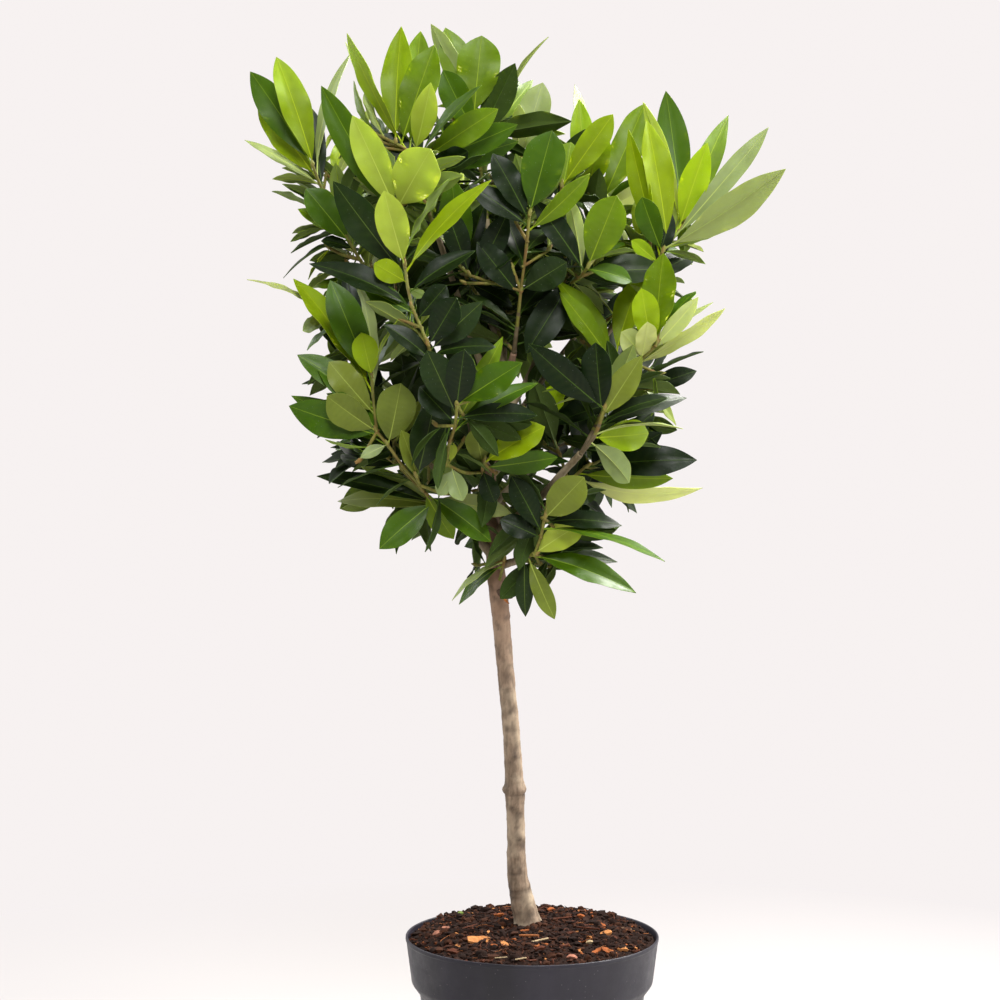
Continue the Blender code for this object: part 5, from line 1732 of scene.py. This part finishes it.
def build_chips(materials):
    """Flakes of bark: small ones strewn about, and those that the front view shows."""
    dice = random.Random(f"{SEED} chips")
    sheaf = Sheaf()
    for _ in range(CHIPS):
        x, y, z = on_ground(dice)
        long = dice.uniform(*CHIP_LENGTHS) * dice.choice((1, 1, 1.5))
        size = (long, long * dice.uniform(*CHIP_RATIO), dice.uniform(*CHIP_THICKNESS))
        add_chip(sheaf, dice, (x, y, z + 0.4), size, dice.choice(CHIP_TONES))
    for (px, py), long, wide, yaw, slot in PLACED_CHIPS:
        x, y = seen_at(px, py)
        place = (x, y, ground_height(x, y) + 1.3)
        add_chip(sheaf, dice, place, (long, wide, 2.2), slot, math.radians(yaw), 0.3)
    return as_piece(sheaf.piece("bark_chips", materials, 35), "compost")


def build_crumbs(materials):
    """Crumbs and clods of peat all over the surface, each an uneven little lump."""
    dice = random.Random(f"{SEED} crumbs")
    ball = bmesh.new()
    bmesh.ops.create_icosphere(ball, subdivisions=1, radius=1)
    shape = np.array([v.co[:] for v in ball.verts])
    faces = np.array([[v.index for v in f.verts] for f in ball.faces])
    ball.free()
    sheaf = Sheaf()

    def add_lump(x, y, z, size):
        uneven = np.array([dice.uniform(*LUMP_UNEVEN) for _ in shape])[:, None]
        points = shape * uneven * size * (dice.uniform(*LUMP_STRETCH), 1, LUMP_FLATNESS)
        points = placed(points, (x, y, z + size * 0.2), dice.uniform(0, 6))
        sheaf.add(points, faces, dice.choice((0, 0, 1)))

    for _ in range(CRUMBS):
        x, y, z = on_ground(dice, 6, 1)
        add_lump(x, y, z, CRUMB_SIZES[0] + CRUMB_SIZES[1] * dice.random() ** 2.5)
    for _ in range(CLODS):
        x, y, z = on_ground(dice, 18, 4)
        add_lump(x, y, z, dice.uniform(*CLOD_RANGE))
    for _ in range(FOOT_CLODS):
        angle, out = dice.uniform(0, 2 * math.pi), dice.uniform(*FOOT_CLOD_RING)
        x, y = STEM_FOOT[0] + out * math.cos(angle), STEM_FOOT[1] + out * math.sin(angle)
        add_lump(x, y, ground_height(x, y) + 0.6, dice.uniform(*FOOT_CLOD_RANGE))
    return as_piece(sheaf.piece("peat_crumbs", materials, 50), "compost")


def build_fibres(materials):
    """Curved fibres strewn about, and the straight sticks that the front view shows."""
    dice = random.Random(f"{SEED} fibres")
    sheaf = Sheaf()
    for _ in range(FIBRES):
        x, y, _ = on_ground(dice)
        long = dice.uniform(*FIBRE_LENGTHS)
        yaw, curl = dice.uniform(0, 6.3), dice.gauss(0, FIBRE_CURL)
        rise = dice.uniform(*FIBRE_RISE)
        radius = dice.uniform(*FIBRE_RADII)
        path = []
        for k in range(6):
            t = k / 5
            angle = yaw + curl * t
            px, py = x + long * t * math.cos(angle), y + long * t * math.sin(angle)
            if math.hypot(px, py) > SOIL_RADIUS - 2:
                break
            lift = 0.5 + rise * long * t * (1.2 - t)
            path.append((px, py, ground_height(px, py) + lift, radius * (1.1 - 0.6 * t)))
        if len(path) > 2:
            add_tube(sheaf, path, 5, dice.choice(FIBRE_TONES))
    for (px, py), long, yaw, radius, slot in PLACED_STICKS:
        x, y = seen_at(px, py)
        yaw = math.radians(yaw)
        path = []
        for k in range(6):
            t = k / 5 - 0.5
            sx, sy = x + long * t * math.cos(yaw), y + long * t * math.sin(yaw)
            path.append((sx, sy, ground_height(x, y) + 1.8 + t, radius * (1.05 - 0.3 * abs(t))))
        add_tube(sheaf, path, 7, slot)
    return as_piece(sheaf.piece("peat_fibres", materials, 60), "compost")


# ---------------------------------------------------------------- materials


def linear(colour):
    """An sRGB colour of 0 to 255 as linear light."""
    shares = (value / 255 for value in colour)
    return tuple(s / 12.92 if s <= 0.04045 else ((s + 0.055) / 1.055) ** 2.4 for s in shares)


def shaded(colour, share):
    return tuple(value * share for value in colour)


class Wiring:
    """Adds nodes to a node tree and joins them up."""

    def __init__(self, tree):
        self.nodes = tree.nodes
        self.links = tree.links

    def feed(self, value, socket):
        if isinstance(value, (int, float)):
            socket.default_value = value
        elif isinstance(value, (tuple, Vector)):
            socket.default_value = (*value, 1)[: len(socket.default_value)]
        else:
            self.links.new(value, socket)

    def node(self, kind, output, inputs, **settings):
        """A new node's output. Its inputs are numbers, colours or other nodes' outputs."""
        made = self.nodes.new(f"ShaderNode{kind}")
        for name, value in settings.items():
            setattr(made, name, value)
        for name, value in inputs.items():
            self.feed(value, made.inputs[name])
        return made.outputs[output]

    def ranged(self, value, low, high, to_low=0.0, to_high=1.0):
        inputs = {"Value": value, "From Min": low, "From Max": high}
        return self.node("MapRange", "Result", {**inputs, "To Min": to_low, "To Max": to_high})

    def blended(self, factor, first, second, end):
        """Joins a blend of two shaders to the tree's end."""
        mix = self.node("MixShader", 0, {0: factor, 1: first, 2: second})
        self.links.new(mix, self.nodes[end].inputs["Surface"])


class Paint(Wiring):
    """A material on one Principled shader, with the few nodes that the finishes here need."""

    def __init__(self, name, roughness=0.5, mirror=None):
        self.material = bpy.data.materials.new(name)
        self.material.use_nodes = True
        super().__init__(self.material.node_tree)
        self.shader = self.nodes["Principled BSDF"]
        self.shader.inputs["Roughness"].default_value = roughness
        if mirror is not None:
            self.shader.inputs["Specular IOR Level"].default_value = mirror
        self.place = self.nodes.new("ShaderNodeTexCoord").outputs["Object"]

    def stretched(self, scale):
        return self.node("Mapping", "Vector", {"Scale": scale, "Vector": self.place})

    def noise(self, scale, detail=3, place=None, roughness=0.55):
        inputs = {"Scale": scale, "Detail": detail, "Roughness": roughness}
        return self.node("TexNoise", "Fac", {**inputs, "Vector": place or self.place})

    def cells(self, scale, place=None):
        inputs = {"Scale": scale, "Vector": place or self.place}
        return self.node("TexVoronoi", "Distance", inputs)

    def attribute(self, name):
        return self.node("Attribute", "Fac", {}, attribute_name=name)

    def height(self):
        return self.node("SeparateXYZ", "Z", {"Vector": self.place})

    def times(self, first, second):
        return self.node("Math", 0, {0: first, 1: second}, operation="MULTIPLY")

    def mix(self, factor, first, second):
        return self.node("Mix", 2, {0: factor, 6: first, 7: second}, data_type="RGBA")

    def bump(self, height, strength, distance):
        inputs = {"Strength": strength, "Distance": distance, "Height": height}
        self.links.new(self.node("Bump", "Normal", inputs), self.shader.inputs["Normal"])

    def finish(self, colour, roughness=None):
        self.feed(colour, self.shader.inputs["Base Color"])
        if roughness is not None:
            self.feed(roughness, self.shader.inputs["Roughness"])
        return self.material


def leaf_material(tone, side, colour, through):
    """A blade's face: mottled, darker at its foot (its own deeper green and painted shade), paler
    along its veins and faintly dusty.
    """
    in_shade = tone in GLOSSY_TONES
    finish = "under" if side == "under" else "upper" if in_shade else "young"
    gloss, mirror = LEAF_GLOSS[finish]
    paint = Paint(f"leaf_{tone}_{side}", mirror=mirror)
    base = linear(colour)
    mottled = paint.mix(paint.ranged(paint.noise(70, 4), 0.35, 0.7), base, shaded(base, MOTTLE))
    # Painted shade, with the blade's own deeper green: darker towards the foot
    foot = paint.ranged(paint.attribute("reach"), 0.0, 0.75, FOOT_SHADE, 0.0)
    mottled = paint.mix(foot, mottled, (0.0, 0.0, 0.0))
    warm = tuple(value * share for value, share in zip(base, WARMTH))
    tinted = paint.mix(paint.times(paint.attribute("tint"), TINT_SHARE), mottled, warm)
    clearness = VEIN_CLEARNESS[0 if in_shade else 1]
    veined = paint.mix(paint.times(paint.attribute("vein"), clearness), tinted, linear(VEIN_COLOUR))
    dust = paint.ranged(paint.cells(DUST_SCALE), 0.05, 0.12, DUST_SHARE, 0.0)
    veined = paint.mix(dust, veined, linear(DUST_COLOUR))
    paint.bump(paint.noise(900, 3), 0.12, 0.0004)
    inputs = paint.shader.inputs
    inputs["Subsurface Weight"].default_value = through
    inputs["Subsurface Radius"].default_value = GLOW_RADIUS
    inputs["Subsurface Scale"].default_value = GLOW_SCALE
    return paint.finish(veined, paint.ranged(paint.noise(160, 3), 0.3, 0.7, *gloss))


def leaf_materials():
    """Three materials for each tone: upper face, underside, and the ribs, stalk and margin."""
    made = []
    for tone, (upper, under, through) in LEAF_COLOURS.items():
        made.append(leaf_material(tone, "upper", upper, through))
        made.append(leaf_material(tone, "under", under, through))
        rib = zip(linear(upper), linear(RIB_COLOUR))
        colour = tuple(own ** (1 - RIB_SHARE) * shared**RIB_SHARE for own, shared in rib)
        made.append(Paint(f"leaf_{tone}_rib", 0.5, RIB_MIRROR).finish(colour))
    return made


def bark_material(name, scale, relief, *colours, has_dark=True, upper=None):
    """Bark of three colours in fine lengthwise streaks and slow patches, with dark specks; a dark
    value darkens its scars and paints shade where its relief sinks.
    """
    paint = Paint(name)
    first, second, third = map(linear, colours)
    shade_and_marks = linear(CREASE_SHADE_AND_MARK_COLOUR)
    streaks = paint.noise(scale, 6, paint.stretched((1, 1, 0.22)), 0.65)
    patches = paint.noise(scale * 0.16, 3)
    colour = paint.mix(paint.ranged(streaks, 0.36, 0.66), first, second)
    colour = paint.mix(paint.ranged(patches, 0.46, 0.7), colour, third)
    if upper:
        colour = paint.mix(paint.ranged(paint.height(), *UPPER_BARK), colour, linear(upper))
    specks = paint.cells(scale * 0.9, paint.stretched((1, 1, 1.8)))
    colour = paint.mix(paint.ranged(specks, 0.02, 0.16, 0.5, 0.0), colour, shade_and_marks)
    # Painted shade where the relief sinks, and the scar marks, from the mesh's dark value
    if has_dark:
        colour = paint.mix(paint.times(paint.attribute("dark"), 0.85), colour, shade_and_marks)
    paint.bump(streaks, relief, 0.0008)
    return paint.finish(colour, paint.ranged(patches, 0.3, 0.7, 0.6, 0.85))


def scraps(kind, roughness=0.8):
    """Materials for scraps of bark, wood or peat of this kind: streaked and rough."""
    made = []
    for name, colour in SCRAPS[kind].items():
        paint = Paint(name, mirror=EARTH_GLOSS)
        base = linear(colour)
        streaks = paint.noise(420, 5)
        colour = paint.mix(paint.ranged(streaks, 0.3, 0.7), shaded(base, 0.55), shaded(base, 1.2))
        paint.bump(streaks, 0.5, 0.0005)
        made.append(paint.finish(colour, roughness))
    return made


def pot_material():
    """Dark grey moulded plastic, faintly streaked, scuffed and dusted with pale specks."""
    paint = Paint("pot_plastic")
    first, second, scuffed, pale = map(linear, POT_COLOURS)
    streaks = paint.noise(26, 5, paint.stretched((1, 1, 0.12)))
    colour = paint.mix(paint.ranged(streaks, 0.35, 0.7), first, second)
    scuffs = paint.noise(46, 8, None, 0.75)
    colour = paint.mix(paint.ranged(scuffs, 0.6, 0.78, 0, 0.4), colour, scuffed)
    specks = paint.cells(240)
    colour = paint.mix(paint.ranged(specks, 0.04, 0.09, 0.55, 0), colour, pale)
    paint.bump(paint.noise(700, 3), 0.12, 0.0004)
    return paint.finish(colour, paint.ranged(scuffs, 0.35, 0.7, 0.38, 0.62))


def compost_material():
    """Moist dark peat in grains and patches."""
    paint = Paint("compost_peat", mirror=EARTH_GLOSS)
    first, second, patched = map(linear, COMPOST_COLOURS)
    grains = paint.noise(330, 7, None, 0.7)
    patches = paint.noise(70, 4)
    colour = paint.mix(paint.ranged(grains, 0.35, 0.68), first, second)
    colour = paint.mix(paint.ranged(patches, 0.45, 0.7), colour, patched)
    paint.bump(grains, 0.9, 0.0018)
    return paint.finish(colour, 0.92)


# ---------------------------------------------------------------- studio


def floor_material():
    """Plain pale floor by the pot, which turns into the backdrop's own light further out."""
    paint = Paint("studio_floor", 0.9)
    paint.finish(FLOOR_COLOUR)
    away = paint.node("VectorMath", "Value", {0: paint.place}, operation="LENGTH")
    glow = paint.node("Emission", 0, {"Color": BACKDROP})
    share = paint.ranged(away, *FLOOR_FADE)
    paint.blended(share, paint.shader.outputs[0], glow, "Material Output")
    return paint.material


def build_world():
    """The backdrop as the camera sees it, and a dome of light that is brighter on one side."""
    world = bpy.data.worlds.new("studio")
    world.use_nodes = True
    tree = Wiring(world.node_tree)
    seen = tree.nodes["Background"]
    tree.feed(BACKDROP, seen.inputs["Color"])
    towards, far_side = DOME
    around = tree.node("TexCoord", "Generated", {})
    aim = {0: around, 1: Vector(towards).normalized()}
    facing = tree.node("VectorMath", "Value", aim, operation="DOT_PRODUCT")
    strength = tree.ranged(facing, *DOME_EDGE, far_side, AMBIENT)
    light = tree.node("Background", 0, {"Color": BACKDROP, "Strength": strength})
    is_seen = tree.node("LightPath", "Is Camera Ray", {})
    tree.blended(is_seen, light, seen.outputs[0], "World Output")
    bpy.context.scene.world = world


def build_studio():
    bpy.ops.mesh.primitive_circle_add(vertices=96, radius=FLOOR_RADIUS, fill_type="NGON")
    floor = bpy.context.object
    floor.name = "studio_floor"
    floor.data.materials.append(floor_material())
    floor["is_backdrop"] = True
    build_world()
    scene = bpy.context.scene
    scene.view_settings.view_transform = "Standard"
    for name, (place, aim, size, power, colour) in LIGHTS.items():
        lamp = bpy.data.lights.new(name, "AREA")
        lamp.shape = "DISK"
        lamp.size = size
        lamp.energy = power
        lamp.color = colour
        made = bpy.data.objects.new(name, lamp)
        made.location = place
        made.rotation_euler = (Vector(aim) - Vector(place)).to_track_quat("-Z", "Y").to_euler()
        made.visible_camera = False
        scene.collection.objects.link(made)


def build_camera():
    lens = bpy.data.cameras.new("camera")
    lens.lens = LENS
    lens.sensor_width = SENSOR
    camera = bpy.data.objects.new("camera", lens)
    camera.location = Vector(CAMERA) * MM
    camera.rotation_euler = (math.radians(90), 0, 0)
    bpy.context.scene.collection.objects.link(camera)
    bpy.context.scene.camera = camera


def grow_plant():
    """The foliage on the stem and boughs, which keeps clear of their plain solids."""
    limb_paths = {"trunk": trunk_path()}
    wider = tube_mesh("stem_room", grown(trunk_path(), GAP / MM), TRUNK_SIDES)
    solids = [solid_of_mesh(wider, "stem")]
    for name, sizes in BOUGHS.items():
        limb_paths[name] = bough_path(*sizes)
        solids.append(solid_of_mesh(tube_mesh(name, limb_paths[name], BOUGH_SIDES), name))
    return grow_foliage(limb_paths, solids)


def main():
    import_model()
    cad_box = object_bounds()
    build_camera()
    build_studio()

    growths = grow_plant()
    leaf_paints = leaf_materials()
    twig_paints = [bark_material(*row, has_dark=False) for row in TWIG_BARKS]
    for growth in growths:
        build_leaves(growth, leaf_paints)
        build_twigs(growth, twig_paints)
    build_boughs([bark_material(*BOUGH_BARK)])
    build_trunk([bark_material(*STEM_BARK, upper=UPPER_BARK_COLOUR)])
    build_stub([bark_material(*STUB_BARK), *scraps("torn")])

    build_pot(pot_material())
    build_compost(compost_material())
    build_chips(scraps("chips"))
    build_crumbs(scraps("crumbs", 0.95))
    build_fibres(scraps("fibres"))

    boxes = {"cad": cad_box, "visual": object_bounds()}
    {name: [list(corner) for corner in box] for name, box in boxes.items()}


main()
